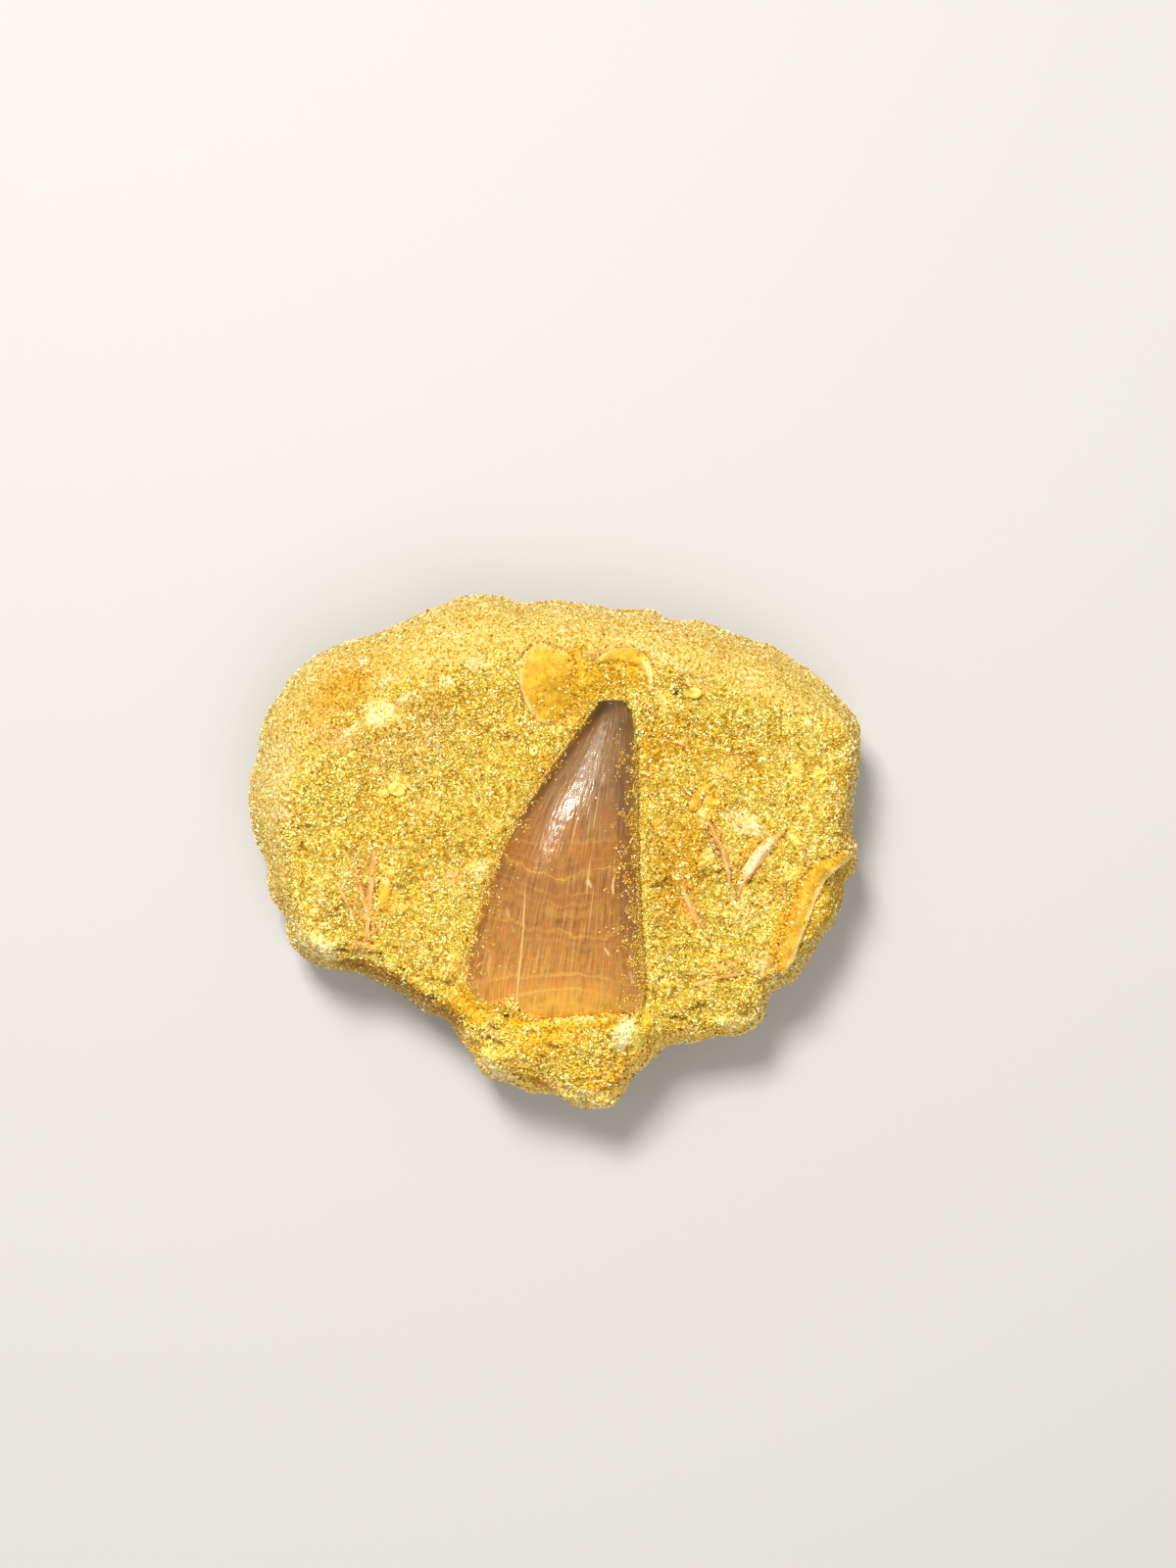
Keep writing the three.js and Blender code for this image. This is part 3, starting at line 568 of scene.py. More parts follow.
def relax(places, edges, rounds, amount=0.5, back=-0.52):
    """Evens out facets and steps without shrinking the whole."""
    count = np.bincount(edges.ravel(), minlength=len(places))[:, None]
    for step in [amount, back] * rounds:
        pull = np.empty_like(places)
        for axis in range(3):
            pull[:, axis] = (
                np.bincount(edges[:, 0], places[edges[:, 1], axis], len(places))
                + np.bincount(edges[:, 1], places[edges[:, 0], axis], len(places)))
        places = places + step * (pull / count - places)
    return places


sand_mesh = modified(merged("matrix_block"), "REMESH", mode="VOXEL", voxel_size=VOXEL)
edges = read_rows(sand_mesh.edges, "vertices", 2, np.int32)
sand = relax(points_of(sand_mesh), edges, 14)
sand_mesh.vertices.foreach_set("co", sand.ravel())
sand_mesh.update()
facing = normals_of(sand_mesh)
sand_x, sand_y = sand[:, 0] / MM, sand[:, 1] / MM

# Where each point lies: how far in from the block's outline, and whether on the face, the sides or the underside.
bearing = np.degrees(np.arctan2(sand[:, 1], sand[:, 0])) % 360
radius = np.hypot(sand[:, 0], sand[:, 1]) / MM
sectors = np.arange(360 // SECTOR)
reach_by_bearing = np.zeros(len(sectors))
np.maximum.at(reach_by_bearing, (bearing / SECTOR).astype(int) % len(sectors), radius)
inset = np.interp(bearing, (sectors + 0.5) * SECTOR, reach_by_bearing, period=360) - radius
slope_width = np.interp(bearing, *zip(*WORN_SLOPE))
on_face = np.clip((facing[:, 2] + 0.1) / 0.5, 0, 1)
worn = on_face * np.clip((slope_width - inset) / 2 + 0.5, 0, 1)
below = np.clip(-facing[:, 2] * 3 - 1.5, 0, 1) * (sand[:, 2] < UNDERSIDE_HEIGHT)
past_ledge = np.interp(sand_x, *zip(*LEDGE)) - sand_y
steep = fade(past_ledge, 0, 0.9) * fade(sand_x, -31, -29.4) * fade(sand_x, -12, -14)
rough = (1 - 0.8 * worn) * (1 - below) * (1 - 0.6 * steep) * (1 - 0.35 * fade(sand_y, -22, -25))

# The relief in millimetres.
lumps = 0.3 * wrinkles(sand, 3, 59) + 0.2 * wrinkles(sand, 1.7, 60) + 0.2 * wrinkles(sand, 0.8, 61, (2, 1, 1))
hollows = -0.7 * np.clip(wrinkles(sand, 1.4, 62) - 0.45, 0, 1) * (on_face > 0.5)
layers = 0.7 * (1 - on_face) * wrinkles(sand, 1.5, 63, (4, 4, 1))
# Small scarps on the broken face: thin layers end along wandering lines, each a step down towards -Y.
step = (sand_y + 3.5 * wrinkles(sand, 7, 64) + 0.8 * wrinkles(sand, 1.8, 65)) / 4.2
lower_half = fade(sand_y, 12, -10)
broken = fade(wrinkles(sand, 5, 66), 0, 0.35) * on_face * (0.2 + 0.8 * lower_half)
scarps = 0.7 * broken * (0.5 - step % 1)
thread = wrinkles(sand, 1.9, 67, (2.6, 1, 1))
cracked = np.exp(-((thread / 0.07) ** 2)) * fade(wrinkles(sand, 4, 68), 0.12, 0.4) * on_face * (1 - worn)
cracked *= 0.2 + 0.8 * lower_half
crusted = 0.6 * fade(wrinkles(sand, 2.7, 69) + 0.35 * wrinkles(sand, 1, 70), 0.4, 0.6) * on_face
breaks = [(near_line(sand, line, reach), lift) for line, reach, lift in BREAKS]
seams = sum(near * lift for near, lift in breaks) * (facing[:, 2] > 0)
pitted = np.max([near for near, lift in breaks if lift < -0.6], axis=0) * (facing[:, 2] > 0)
# It is banked up against the tooth's flanks.
beyond_tooth = np.maximum(np.interp(sand_y, edge_rows, left_edge) - sand_x,
                          sand_x - np.interp(sand_y, edge_rows, right_edge))
banked = np.exp(-((beyond_tooth / 1.2) ** 2)) * fade(np.abs(sand_y - 2), 24, 21) * (facing[:, 2] > 0)
banked *= np.where(sand_x > 3 + 0.2 * sand_y, 1.6, 0.7) * fade(sand_y, 22, 10)
lift = rough * (lumps + hollows + layers + scarps - 0.5 * cracked + 0.2 * crusted) + seams + 0.5 * banked
sand = sand + facing * (lift * MM)[:, None]


def surface_of(piece):
    return BVHTree.FromPolygons([v.co for v in piece.data.vertices], [p.vertices for p in piece.data.polygons])


# The sand is drawn against what it holds, so that no gap shows round a piece.
for piece in [crown, *fragments]:
    surface = surface_of(piece)
    low, high = points_of(piece.data).min(axis=0), points_of(piece.data).max(axis=0)
    close = np.all((sand > low - SNAP_REACH) & (sand < high + SNAP_REACH), axis=1)
    for i in np.flatnonzero(close):
        spot, normal, _, gap = surface.find_nearest(sand[i], 2 * SNAP_REACH)
        if spot is None:
            continue
        outside = (Vector(sand[i]) - spot).dot(normal) > 0
        if outside and gap > SNAP_REACH:
            continue
        if outside and piece is not crown:
            sand[i, 2] += BANK_LIFT * math.exp(-((gap / BANK_REACH) ** 2))
            spot, normal, _, gap = surface.find_nearest(sand[i], 2 * SNAP_REACH)
        if not outside or gap < (CROWN_CREVICE if piece is crown else FRAGMENT_CREVICE):
            sand[i] = spot - normal * SNAP_DEPTH

box_low, box_high = (np.array(corner) for corner in cad_box)
sand = np.clip(sand, box_low + [BOX_MARGIN, BOX_MARGIN, 0], box_high - BOX_MARGIN)
sand_mesh.vertices.foreach_set("co", sand.ravel())
sand_mesh.update()

SAND_COLOUR = "#f4e178"
STAIN_COLOURS = {
    "ochre": "#e4b434", "gold": "#f2cc50", "lemon": "#f9ee94", "cream": "#faf0c8", "pink": "#efcb98",
    "white": "#fffaea", "painted_shade_brown": "#cf9a42", "amber": "#e8be3c", "rose": "#dca868",
}
# Stains and crusts in the sand, and two patches of painted shade in brown: the middle and the reach in millimetres,
# the turn in degrees, the colour, its strength, and how far it is a smooth crust with few loose grains.
STAINS = [
    (-28.5, 23.4, 5.4, 2.8, 28, "ochre", 0.8, 0),
    (-32.5, 20, 3, 3, 0, "ochre", 0.4, 0),
    (-29.9, 16.2, 3, 1.7, -10, "pink", 0.75, 0.5),
    (-24, 19.3, 2.3, 1.8, 30, "cream", 1, 0.95),
    (-20.6, 21.8, 1.2, 0.5, 30, "white", 0.8, 0.7),
    (-22.8, 24.4, 1.7, 0.7, 25, "white", 0.7, 0.7),
    (-27.4, 17.4, 1.6, 0.8, 25, "cream", 0.7, 0.6),
    (-26.5, 26.8, 0.7, 0.6, 0, "white", 0.8, 0.6),
    (-14.9, 24.1, 0.9, 0.8, 0, "white", 0.7, 0.6),
    (-10.9, 26.6, 1.6, 1.2, 0, "cream", 0.7, 0.5),
    (-37.3, 15.2, 1.3, 0.8, 20, "cream", 0.8, 0.6),
    (-37.3, 5.7, 1.6, 0.9, 10, "cream", 0.7, 0.6),
    (-39, 10, 3, 7, 0, "cream", 0.4, 0),
    (-20, 15, 8, 4, 20, "pink", 0.4, 0),
    (-12, 5, 6, 7, -30, "ochre", 0.2, 0),
    (3.6, 25.4, 2.6, 3.6, 0, "amber", 0.9, 0.75),
    (3.2, 20.5, 1.6, 3, -30, "amber", 0.8, 0.4),
    (9.2, 24.4, 4.4, 2.6, 0, "amber", 0.85, 0.2),
    (10.2, 26.8, 3.4, 1.1, 0, "amber", 0.95, 0.9),
    (21.4, 7.6, 1.3, 1.8, 20, "amber", 0.7, 0.7),
    (5.4, 27.6, 1.8, 0.8, 0, "pink", 0.6, 0.4),
    (15, 27.4, 4, 0.7, -32, "cream", 0.7, 0.4),
    (19.8, 23.6, 2.2, 1, -20, "pink", 0.6, 0.3),
    (22, 16, 5, 3, -20, "gold", 0.5, 0),
    (33.7, 12, 0.9, 1.7, 0, "lemon", 0.9, 0.7),
    (32.3, 14.2, 2.4, 0.8, -20, "pink", 0.6, 0.4),
    (37, 11.4, 1.2, 0.9, 0, "lemon", 0.7, 0.6),
    (27, 4.3, 2.4, 1.6, -25, "cream", 1, 0.75),
    (28.6, 3, 0.9, 0.7, -25, "white", 0.8, 0.75),
    (24.6, 5.4, 1.6, 0.8, -20, "cream", 0.8, 0.6),
    (19.3, -0.4, 1.7, 4.4, 8, "amber", 0.7, 0.1),
    (22.6, 1.8, 1.1, 4, 28, "pink", 0.6, 0.4),
    (27.6, 1.2, 0.9, 3.2, -38, "ochre", 0.6, 0.4),
    (25.8, -7, 1.6, 3, 10, "cream", 0.55, 0.3),
    (18.7, -6.5, 1.1, 3.6, 21, "rose", 0.9, 0.6),
    (16.2, -7, 2.6, 5, 0, "ochre", 0.6, 0),
    (15.5, 2, 2.4, 6, 0, "ochre", 0.5, 0),
    (14, 12, 2, 6, 0, "ochre", 0.4, 0),
    (29.6, -15.6, 1.7, 2.4, 20, "cream", 0.85, 0.6),
    (32.1, -14.4, 0.8, 1, 0, "white", 0.9, 0.6),
    (23.4, -15.4, 5, 0.5, 12, "pink", 0.6, 0.4),
    (26, -23.6, 3.4, 1, 10, "cream", 0.75, 0.6),
    # Painted shade on the steep face below the lower right edge.
    (17.6, -24.4, 2.4, 1.4, 0, "painted_shade_brown", 0.5, 0),
    (33.4, -8.4, 9, 1.7, 64, "amber", 0.85, 0.5),
    (38.6, -6.4, 6, 1.3, 62, "gold", 0.8, 0.5),
    (-33.6, -12.8, 3.6, 2, -18, "cream", 1, 0.8),
    (-31.6, -12.6, 1.4, 0.6, 0, "white", 0.8, 0.7),
    (-26.4, -12.6, 2, 1.1, -10, "pink", 0.8, 0.5),
    (-33.3, -7.2, 3, 3.4, 0, "lemon", 0.5, 0.2),
    (-14, -3.2, 1.4, 1.1, 0, "pink", 0.85, 0.7),
    (-10.3, -2.4, 0.9, 1.5, -25, "cream", 0.75, 0.6),
    (-26.6, -5, 2.6, 5, 10, "pink", 0.4, 0),
    (-26.2, -7.6, 0.8, 4, 4, "rose", 0.7, 0.6),
    (-22.9, -5.3, 1.2, 2.4, 5, "amber", 0.85, 0.85),
    (-22.2, 9.2, 2.3, 1, 15, "lemon", 1, 0.95),
    (-21.4, 9.3, 0.9, 1.9, -25, "lemon", 1, 0.95),
    (-20, -9, 3, 4, 0, "gold", 0.4, 0),
    (-11.4, -20.8, 3.2, 2.3, -25, "amber", 0.85, 0.7),
    (-3.6, -22.6, 3, 0.8, 4, "amber", 0.9, 0.8),
    (1.6, -23.5, 3.4, 0.7, 8, "gold", 0.9, 0.5),
    (7, -22.9, 3.4, 0.8, 4, "ochre", 0.8, 0.5),
    (-1.4, -25, 2.4, 0.9, 4, "amber", 0.85, 0.6),
    (9.8, -24.6, 1.5, 2.6, -16, "white", 0.9, 0.85),
    (11.6, -25.4, 1, 1.8, 0, "lemon", 0.9, 0.85),
    (12.4, -22.6, 1.1, 2, 15, "gold", 0.75, 0.7),
    (1, -33, 5, 0.7, -26, "pink", 0.9, 0.8),
    (-8.4, -24.4, 1, 0.6, -20, "pink", 0.8, 0.6),
    (-0.7, -26.4, 4.6, 1.9, 8, "ochre", 0.6, 0.2),
    (-8.2, -30.2, 3, 1.3, -32, "white", 0.85, 0.7),
    # Painted shade in the hollow at the bottom edge.
    (-2, -31.8, 1.5, 0.8, -20, "painted_shade_brown", 0.8, 0.8),
    (4.4, -34, 4.4, 1.3, -10, "cream", 0.8, 0.5),
    (5, -29.6, 3, 1.2, 0, "gold", 0.5, 0.2),
]


def blend(colours, target, share):
    """Colours moved towards one sRGB hex colour, by a share for each point."""
    return colours + (np.array(linear(target)[:3]) - colours) * np.clip(share, 0, 1)[:, None]


def write_tint(mesh, tint):
    layer = mesh.attributes.new("tint", "FLOAT_COLOR", "POINT")
    layer.data.foreach_set("color", np.column_stack([tint, np.ones(len(tint))]).astype(np.float32).ravel())


upward = np.clip(facing[:, 2] * 2 + 0.8, 0, 1) * fade(sand[:, 2] / MM, 9, 15)
flat_sand = sand[:, :2] / MM
broad, blotch, flecks = wrinkles(sand, 9, 71), wrinkles(sand, 3.2, 72), wrinkles(sand, 0.9, 76)
tint = np.tile(linear(SAND_COLOUR)[:3], (len(sand), 1))
# From broad and patchy tones to crusts, the sides and the steep side, both darkened as painted shade, the worn slopes
# and the pale rim.
for colour, share in (
        ("#eaba38", (0.4 + 0.3 * fade(flat_sand[:, 0], -15, 5)) * fade(0.8 * broad + 0.4 * blotch, -0.1, 0.6)),
        ("#f9ea98", 0.7 * fade(wrinkles(sand, 5, 73) + 0.4 * wrinkles(sand, 1.8, 74), 0.05, 0.7)),
        ("#f0d09a", 0.3 * fade(wrinkles(sand, 4, 75) + 0.4 * blotch, 0.3, 0.65)),
        ("#f9edb8", 0.5 * crusted),
        # Painted shade: the sides are darker, and the steep side at the lower left darker still.
        ("#dcae40", 0.65 * (1 - on_face)),
        ("#c29026", 0.9 * steep),
        ("#f7e0a6", 0.55 * worn),
        ("#f9e8b0", 0.8 * np.exp(-((inset / 1.4) ** 2)) * fade(facing[:, 2], -0.1, 0.35))):
    tint = blend(tint, colour, share)
for x, y, reach_x, reach_y, turn, stain, strength, crust in STAINS:
    way = flat_sand - [x, y]
    cosine, sine = math.cos(math.radians(turn)), math.sin(math.radians(turn))
    own = np.stack([way @ [cosine, sine] / reach_x, way @ [-sine, cosine] / reach_y])
    ragged = (own**2).sum(axis=0) * (1 + 0.5 * blotch + 0.7 * flecks)
    share = np.exp(-(np.clip(ragged, 0, None) ** 1.5)) * upward
    if crust >= 0.5:
        share = fade(share, 0.2, 0.6)
    tint = blend(tint, STAIN_COLOURS[stain], strength * share)
    crusted = np.maximum(crusted * (1 - 0.5 * share), crust * share)
# Painted shade: the cracks and the deep seams are darkened.
tint = blend(tint, "#b37f1e", 0.75 * cracked)
tint = blend(tint, "#85601c", 0.7 * fade(pitted, 0.5, 1))
# The worn slopes are toned down, and the tint follows the relief: paler on high points as wear, and darker in hollows
# as painted shade.
tint *= (1 - 0.2 * worn)[:, None] * (1 + 0.1 * np.clip(lift / 0.45, -1, 1)[:, None])
# The lump below the tooth's root is painted brighter, as painted light where it slopes away from the lamps.
tint *= 1 + 0.2 * np.array([1, 1, 0.3]) * (fade(flat_sand[:, 1], -21.5, -24) * on_face)[:, None]
write_tint(sand_mesh, tint)
write_values(sand_mesh, "smoothed", np.maximum.reduce([0.75 * worn, crusted, 0.5 * steep, 0.5 * (1 - on_face)]))
face_cover = (1 - 0.5 * worn) * (1 - 0.85 * crusted) * (1 - cracked) * (1 - pitted**2)
write_values(sand_mesh, "cover", np.where(facing[:, 2] > 0.2, face_cover, 0.5) * (1 - below) * (1 - 0.6 * steep))

# The cement between the grains: matte, pale where it is a crust, and darker where the sand is rough, as painted shade
# in the gaps between the grains.
ground, tree, shader = new_material("phosphate_cement")
place = add(tree, "TexCoord").outputs["Object"]
own = add(tree, "Attribute", attribute_name="tint")
smooth_share = add(tree, "Attribute", attribute_name="smoothed").outputs["Fac"]
# Specks of 0.4 mm, as wide as the grains.
speck = add(tree, "TexNoise", {"Vector": place, "Scale": 2400, "Detail": 3, "Roughness": 0.7})
tone = add(tree, "ValToRGB", {"Fac": speck}, stops=[(0.34, "#b88e1c"), (0.48, "#e6d080"), (0.6, "#fffff4")])
colour = add(tree, "Mix", {0: 1, 6: own, 7: tone}, **MULTIPLY)
# Painted shade: the rough cement is darkest.
shade = add(tree, "MapRange", {"Value": smooth_share, "To Min": 0.52, "To Max": 1.05})
dim = add(tree, "Mix", {0: 1, 6: colour, 7: shade}, **MULTIPLY)
bump = add(tree, "Bump", {"Strength": 0.8, "Distance": 0.15 * MM, "Height": speck})
fill(shader, {"Base Color": dim, "Roughness": 0.9, "Specular IOR Level": 0.1, "Normal": bump})
block = new_piece("sand_block", sand_mesh, ground)
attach(block, "root")
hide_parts("matrix_block")

# ---- The crust on the tooth ----
# Sand that still sticks to the enamel where the digging stopped: a thin ragged skin over the crown's root, with an
# orange, layered corner that runs up the left edge.

CRUST_DEPTH = 0.5 * MM  # of its underside, inside the tooth
# The line where the sand starts over the crown's root, in millimetres.
ROOT_LINE = [(-14, -17), (-12.9, -17.6), (-11, -19.3), (-8.8, -20.7), (-7.4, -20.4), (-6.2, -19.3), (-4.9, -20),
             (-4.2, -21.6), (-0.7, -22.7), (7.5, -22.6), (9.5, -22), (12, -21.2)]

smooth_body = grid.reshape(-1, 3)
ragged = 0.5 * wrinkles(smooth_body, 1.3, 82) + 0.5 * wrinkles(smooth_body, 0.6, 83)
over_root = np.interp(spot_x, *zip(*ROOT_LINE)) - spot_y
left_reach = np.interp(spot_y, [-23, -19, -17, -14], [1.8, 1.6, 0.8, -0.5])
thickness = np.maximum(0.5 * over_root, 0.5 * (left_reach - from_left))
thickness = np.clip(thickness + 0.45 * ragged, -0.4, 0.4) + 0.06 * wrinkles(smooth_body, 0.5, 84)
thickness[angles >= math.pi] = -0.4

outer = smooth_body + crown_outward * (thickness * MM)[:, None]
inner = smooth_body - crown_outward * CRUST_DEPTH
corners = quads[(thickness[quads] > 0).any(axis=1)]
used, renumbered = np.unique(corners, return_inverse=True)
crust_mesh = bpy.data.meshes.new("tooth_crust")
top_faces = renumbered.reshape(-1, 4)
sides = [(face[i], face[(i + 1) % 4]) for face in top_faces.tolist() for i in range(4)]
inner_sides = set(sides)
walls = [[b, a, a + len(used), b + len(used)] for a, b in sides if (b, a) not in inner_sides]
crust_mesh.from_pydata(
    np.concatenate([outer[used], inner[used]]).tolist(), [],
    top_faces.tolist() + (top_faces[:, ::-1] + len(used)).tolist() + walls)
crust_tint = np.tile(linear(SAND_COLOUR)[:3], (len(used), 1))
crust_tint = blend(crust_tint, STAIN_COLOURS["ochre"], np.full(len(used), 0.35))
layered_corner = fade(over_root, -0.5, 0.5) * fade(spot_x, -6, -9)
crust_tint = blend(crust_tint, STAIN_COLOURS["amber"], 0.9 * layered_corner[used])
write_tint(crust_mesh, np.concatenate([crust_tint, crust_tint]))
write_values(crust_mesh, "smoothed", np.full(2 * len(used), 0.3))
crust = new_piece("tooth_crust", crust_mesh, ground)
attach(crust, "root")

# ---- The grains ----
# Loose-looking grains of phosphate and quartz that stand out of the cement, each an angular chip of 0.2 to 0.6 mm.
# They lie thick on the broken face, thinner on the sides, and cling to the tooth's edges and to the shells.

GRAIN_SPACING = 0.235 * MM
GRAIN_SIZES = (0.18 * MM, 0.46 * MM)  # the chip that is scaled by them is 1.35 across
GRAIN_SHAPES = 6
GRAIN_BANDS = [-50, -20, 0, 20, 50]  # the block's grains are four pieces, side by side along X
CHIP_RADIUS = 0.66
CHIP_JITTER = 0.2  # of its corners
CHIP_PROPORTIONS = (1.1, 0.92, 0.78)
DENSEST = 3e7  # grains to the square metre, far more than the spacing leaves
FULL_TURN = 6.283
GRAIN_FLOOR = 0.01 * MM  # no grain reaches below it

# Quartz and phosphate sand, glassy but dull with dust: honey brown to pale yellow, the palest almost clear and painted
# paler still as a painted glint.
grain_material, tree, shader = new_material("phosphate_grains")
own = add(tree, "Attribute", attribute_name="tint")
tone = add(tree, "Attribute", attribute_name="tone").outputs["Fac"]
kind = add(tree, "ValToRGB", {"Fac": tone}, stops=[
    (0, "#90660a"), (0.12, "#dab03c"), (0.3, "#f6e090"), (0.6, "#fff6d2"), (1, "#ffffff")])
colour = add(tree, "Mix", {0: 1, 6: own, 7: kind}, **MULTIPLY)
# Painted glint: the palest grains are pushed towards a pale yellow-white.
painted_glint = add(tree, "MapRange", {"Value": tone, "From Min": 0.72, "From Max": 1, "To Min": 0, "To Max": 0.9})
paler = add(tree, "Mix", {0: painted_glint, 6: colour, 7: linear("#fff8c4")}, **MIX)
fill(shader, {"Base Color": paler, "Roughness": 0.45, "IOR": 1.55, "Specular IOR Level": 0.25})

grain_tree = bpy.data.node_groups.new("Grains", "GeometryNodeTree")
interface = grain_tree.interface
interface.new_socket("Geometry", in_out="INPUT", socket_type="NodeSocketGeometry")
for name, kind_of in (("Spacing", "Float"), ("Smallest", "Float"), ("Largest", "Float"), ("Start", "Float"),
                      ("End", "Float"), ("Seed", "Int"), ("Material", "Material")):
    interface.new_socket(name, in_out="INPUT", socket_type="NodeSocket" + kind_of)
interface.new_socket("Geometry", in_out="OUTPUT", socket_type="NodeSocketGeometry")
given = grain_tree.nodes.new("NodeGroupInput").outputs
smooth_share, cover_share = (
    add(grain_tree, "GeometryNodeInputNamedAttribute", {"Name": name}, data_type="FLOAT")
    for name in ("smoothed", "cover"))
scatter = add(grain_tree, "GeometryNodeDistributePointsOnFaces", {
    "Mesh": given["Geometry"], "Distance Min": given["Spacing"], "Density Max": DENSEST,
    "Density Factor": cover_share, "Seed": given["Seed"]}, distribute_method="POISSON")
# The grains beyond the band are dropped.
along_x = add(grain_tree, "SeparateXYZ", {"Vector": add(grain_tree, "GeometryNodeInputPosition")}).outputs["X"]
before = add(grain_tree, "FunctionNodeCompare", {0: along_x, 1: given["Start"]}, operation="LESS_THAN")
after = add(grain_tree, "FunctionNodeCompare", {0: along_x, 1: given["End"]}, operation="GREATER_EQUAL")
beyond = add(grain_tree, "FunctionNodeBooleanMath", {0: before, 1: after}, operation="OR")
banded = add(grain_tree, "GeometryNodeDeleteGeometry", {"Geometry": scatter, "Selection": beyond})
# There are more small ones than large ones, and they sink deeper where the sand is smooth.
chance = add(grain_tree, "FunctionNodeRandomValue", {"Seed": 3}, data_type="FLOAT")
skewed = add(grain_tree, "Math", {0: chance, 1: 1.8}, operation="POWER")
size = add(grain_tree, "MapRange", {"Value": skewed, "To Min": given["Smallest"], "To Max": given["Largest"]})
proud = add(grain_tree, "MapRange", {"Value": smooth_share, "To Min": 0.1, "To Max": -0.2})
sunk = add(grain_tree, "VectorMath", {
    0: scatter.outputs["Normal"],
    "Scale": add(grain_tree, "Math", {0: size, 1: proud}, operation="MULTIPLY")}, operation="SCALE")
settled = add(grain_tree, "GeometryNodeSetPosition", {"Geometry": banded, "Offset": sunk})
chips = add(grain_tree, "GeometryNodeJoinGeometry")
for shape_number in range(GRAIN_SHAPES):
    chip = add(grain_tree, "GeometryNodeMeshUVSphere", {"Segments": 4, "Rings": 2, "Radius": CHIP_RADIUS})
    jitter = add(grain_tree, "FunctionNodeRandomValue", {
        0: [-CHIP_JITTER] * 3, 1: [CHIP_JITTER] * 3, "Seed": 10 + shape_number}, data_type="FLOAT_VECTOR")
    chipped = add(grain_tree, "GeometryNodeSetPosition", {"Geometry": chip, "Offset": jitter})
    squashed = add(grain_tree, "GeometryNodeTransform", {"Geometry": chipped, "Scale": CHIP_PROPORTIONS})
    fill(chips, {0: add(grain_tree, "GeometryNodeGeometryToInstance", {"Geometry": squashed})})
rolled = add(grain_tree, "FunctionNodeRandomValue", {
    0: [0] * 3, 1: [FULL_TURN] * 3, "Seed": 1}, data_type="FLOAT_VECTOR")
pick = add(grain_tree, "FunctionNodeRandomValue", {4: 0, 5: GRAIN_SHAPES - 1, "Seed": 2}, data_type="INT")
set_grains = add(grain_tree, "GeometryNodeInstanceOnPoints", {
    "Points": settled, "Instance": chips, "Pick Instance": True, "Instance Index": pick, "Rotation": rolled,
    "Scale": size})
tone = add(grain_tree, "FunctionNodeRandomValue", {"Seed": 4}, data_type="FLOAT")
toned = add(grain_tree, "GeometryNodeStoreNamedAttribute", {
    "Geometry": set_grains, "Name": "tone", "Value": tone}, data_type="FLOAT", domain="INSTANCE")
real = add(grain_tree, "GeometryNodeRealizeInstances", {"Geometry": toned})
coloured = add(grain_tree, "GeometryNodeSetMaterial", {"Geometry": real, "Material": given["Material"]})
add(grain_tree, "NodeGroupOutput", {"Geometry": coloured})


def add_grains(name, surface, spacing, sizes, start=GRAIN_BANDS[0], end=GRAIN_BANDS[-1]):
    """One piece of grains on a surface, between two places along X in millimetres."""
    mesh = modified(surface, "NODES", node_group=grain_tree, inputs={
        "Spacing": spacing, "Smallest": sizes[0], "Largest": sizes[1], "Start": start * MM, "End": end * MM,
        "Seed": 5, "Material": grain_material})
    places = np.clip(points_of(mesh), box_low + [BOX_MARGIN, BOX_MARGIN, GRAIN_FLOOR], box_high - BOX_MARGIN)
    mesh.vertices.foreach_set("co", places.ravel())
    grains = new_piece(name, mesh, grain_material, smooth=False)
    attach(grains, "root")


for number, (start, end) in enumerate(zip(GRAIN_BANDS[:-1], GRAIN_BANDS[1:])):
    add_grains(f"sand_grains_{number + 1}", block.data, GRAIN_SPACING, GRAIN_SIZES, start, end)

# More grains are stuck to the pieces: thick on the crust, on the shells wherever the sand lies over them, and as
# fine dust on the tooth's right flank.
sand_surface = surface_of(block)


def dusted(name, pieces_and_covers, spacing, sizes):
    """One piece of grains on several pieces, each with how thick they lie on its upper side."""
    places, faces, covers = [], [], []
    for piece, cover in pieces_and_covers:
        faces += [[v + sum(map(len, places)) for v in face.vertices] for face in piece.data.polygons]
        places.append(points_of(piece.data))
        covers.append(np.clip(cover, 0, 1) * (normals_of(piece.data)[:, 2] > 0))
    mesh = bpy.data.meshes.new(name + ".surface")
    mesh.from_pydata(np.concatenate(places).tolist(), [], faces)
    write_tint(mesh, np.tile(linear("#e8c454")[:3], (len(mesh.vertices), 1)))
    write_values(mesh, "smoothed", np.full(len(mesh.vertices), 0.2))
    write_values(mesh, "cover", np.concatenate(covers))
    add_grains(name, mesh, spacing, sizes)


dusty = [(crust, np.tile(1 - 0.85 * layered_corner[used], 2))]
for piece in fragments:
    places = points_of(piece.data)
    covered = read_rows(piece.data.attributes["covered"].data, "value", 1)[:, 0]
    gaps = np.array([(sand_surface.find_nearest(place, 3 * MM)[3] or 3 * MM) / MM for place in places])
    clumps = fade(wrinkles(places, 1.2, 80), -0.3, 0.4)
    dusty.append((piece, np.maximum(covered, clumps * np.exp(-((gaps / (0.4 * (0.5 + clumps))) ** 2)))))
dusted("stuck_grains", dusty, spacing=0.23 * MM, sizes=(0.18 * MM, 0.45 * MM))
clumps = fade(wrinkles(smooth_body, 1.4, 86) + 0.5 * wrinkles(smooth_body, 0.5, 87), -0.3, 0.5)
fringe = np.interp(spot_y, [-22, -16, -8, 4, 14, 20], [2.6, 2.4, 2.1, 1.6, 1, 0.6])
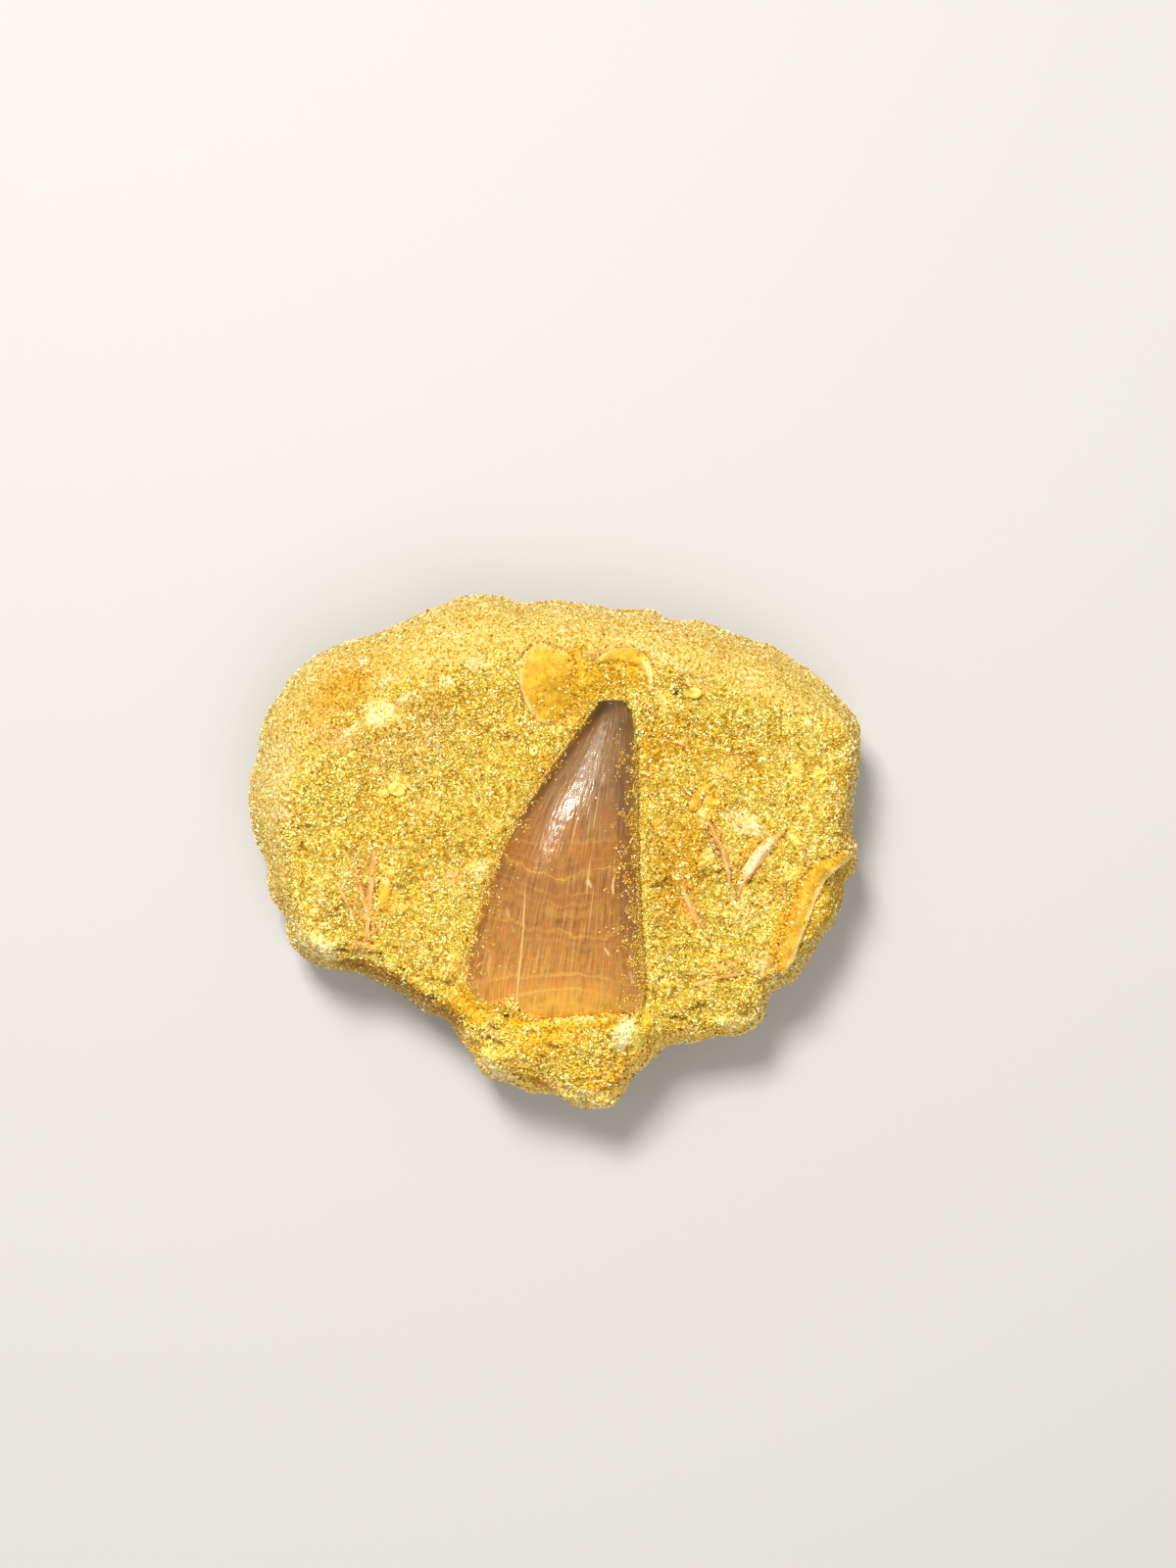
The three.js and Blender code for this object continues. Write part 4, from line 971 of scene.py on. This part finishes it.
tooth_dust = 0.004 + 0.7 * clumps * fade(from_right, 4.2, 2.4) * fade(spot_y, 19, 12)
for distance in (from_left, from_right):
    tooth_dust += 1.1 * np.exp(-((np.maximum(distance, 0) / (fringe * (0.3 + clumps))) ** 2))
dusted("tooth_dust", [(crown, np.append(tooth_dust, [0, 0]))], spacing=0.155 * MM, sizes=(0.1 * MM, 0.28 * MM))

# ---- Floor, light and camera ----
# A plain pale table, a soft lamp high on the tip's side and a little to the left, a weak wide one across from it, two
# for the gloss of the enamel, and a camera that looks straight down on the specimen.

bpy.ops.mesh.primitive_plane_add(size=4, location=(0, 0, -0.02 * MM))
floor = bpy.context.object
floor.name = "floor"
paper, _, shader = new_material("pale_paper")
fill(shader, {"Base Color": linear("#bdbab4"), "Roughness": 0.8})
floor.data.materials.append(paper)

FACE_HEIGHT = 20 * MM


def add_lamp(name, direction, distance, width, height, power, roll=0, colour=(1, 1, 1)):
    """A lamp that looks at the specimen's face from this direction, turned on its axis by some degrees."""
    data = bpy.data.lights.new(name, "AREA")
    data.shape = "RECTANGLE"
    data.size, data.size_y = width, height
    data.energy = power
    data.color = colour
    lamp = new_object(name, data)
    aim = Vector(direction).normalized()
    lamp.location = aim * distance + Vector((0, 0, FACE_HEIGHT))
    turned_on_axis = aim.to_track_quat("Z", "Y") @ Quaternion((0, 0, 1), math.radians(roll))
    lamp.rotation_euler = turned_on_axis.to_euler()
    return lamp


key_lamp = add_lamp("key_lamp", (-0.18, 0.42, 0.88), distance=0.7, width=0.16, height=0.16, power=6.2)
key_lamp.visible_glossy = False
fill_lamp = add_lamp("fill_lamp", (0.2, -0.35, 0.88), distance=0.9, width=0.6, height=0.6, power=3)
fill_lamp.visible_glossy = False
# The long narrow one makes the band of sheen on the tooth's left ridge, and the small one its bright middle.
sheen_lamp = add_lamp("sheen_lamp", (-0.32, 0.43, 0.84), distance=0.5, width=0.24, height=0.12, power=0.45,
                      roll=-30, colour=(1, 0.95, 0.84))
sheen_lamp.visible_diffuse = False
glint_lamp = add_lamp("glint_lamp", (-0.335, 0.375, 0.865), distance=0.5, width=0.04, height=0.02, power=0.6,
                      roll=12, colour=(1, 0.95, 0.86))
glint_lamp.visible_diffuse = False

world = bpy.data.worlds.new("room")
world.use_nodes = True
fill(world.node_tree.nodes["Background"], {"Color": linear("#f4f4f2"), "Strength": 0.42})
bpy.context.scene.world = world
bpy.context.scene.view_settings.view_transform = "Standard"

camera_data = bpy.data.cameras.new("camera")
camera_data.lens = 65
camera = new_object("camera", camera_data)
camera.location = (4.76 * MM, 9.8 * MM, 414 * MM)
bpy.context.scene.camera = camera
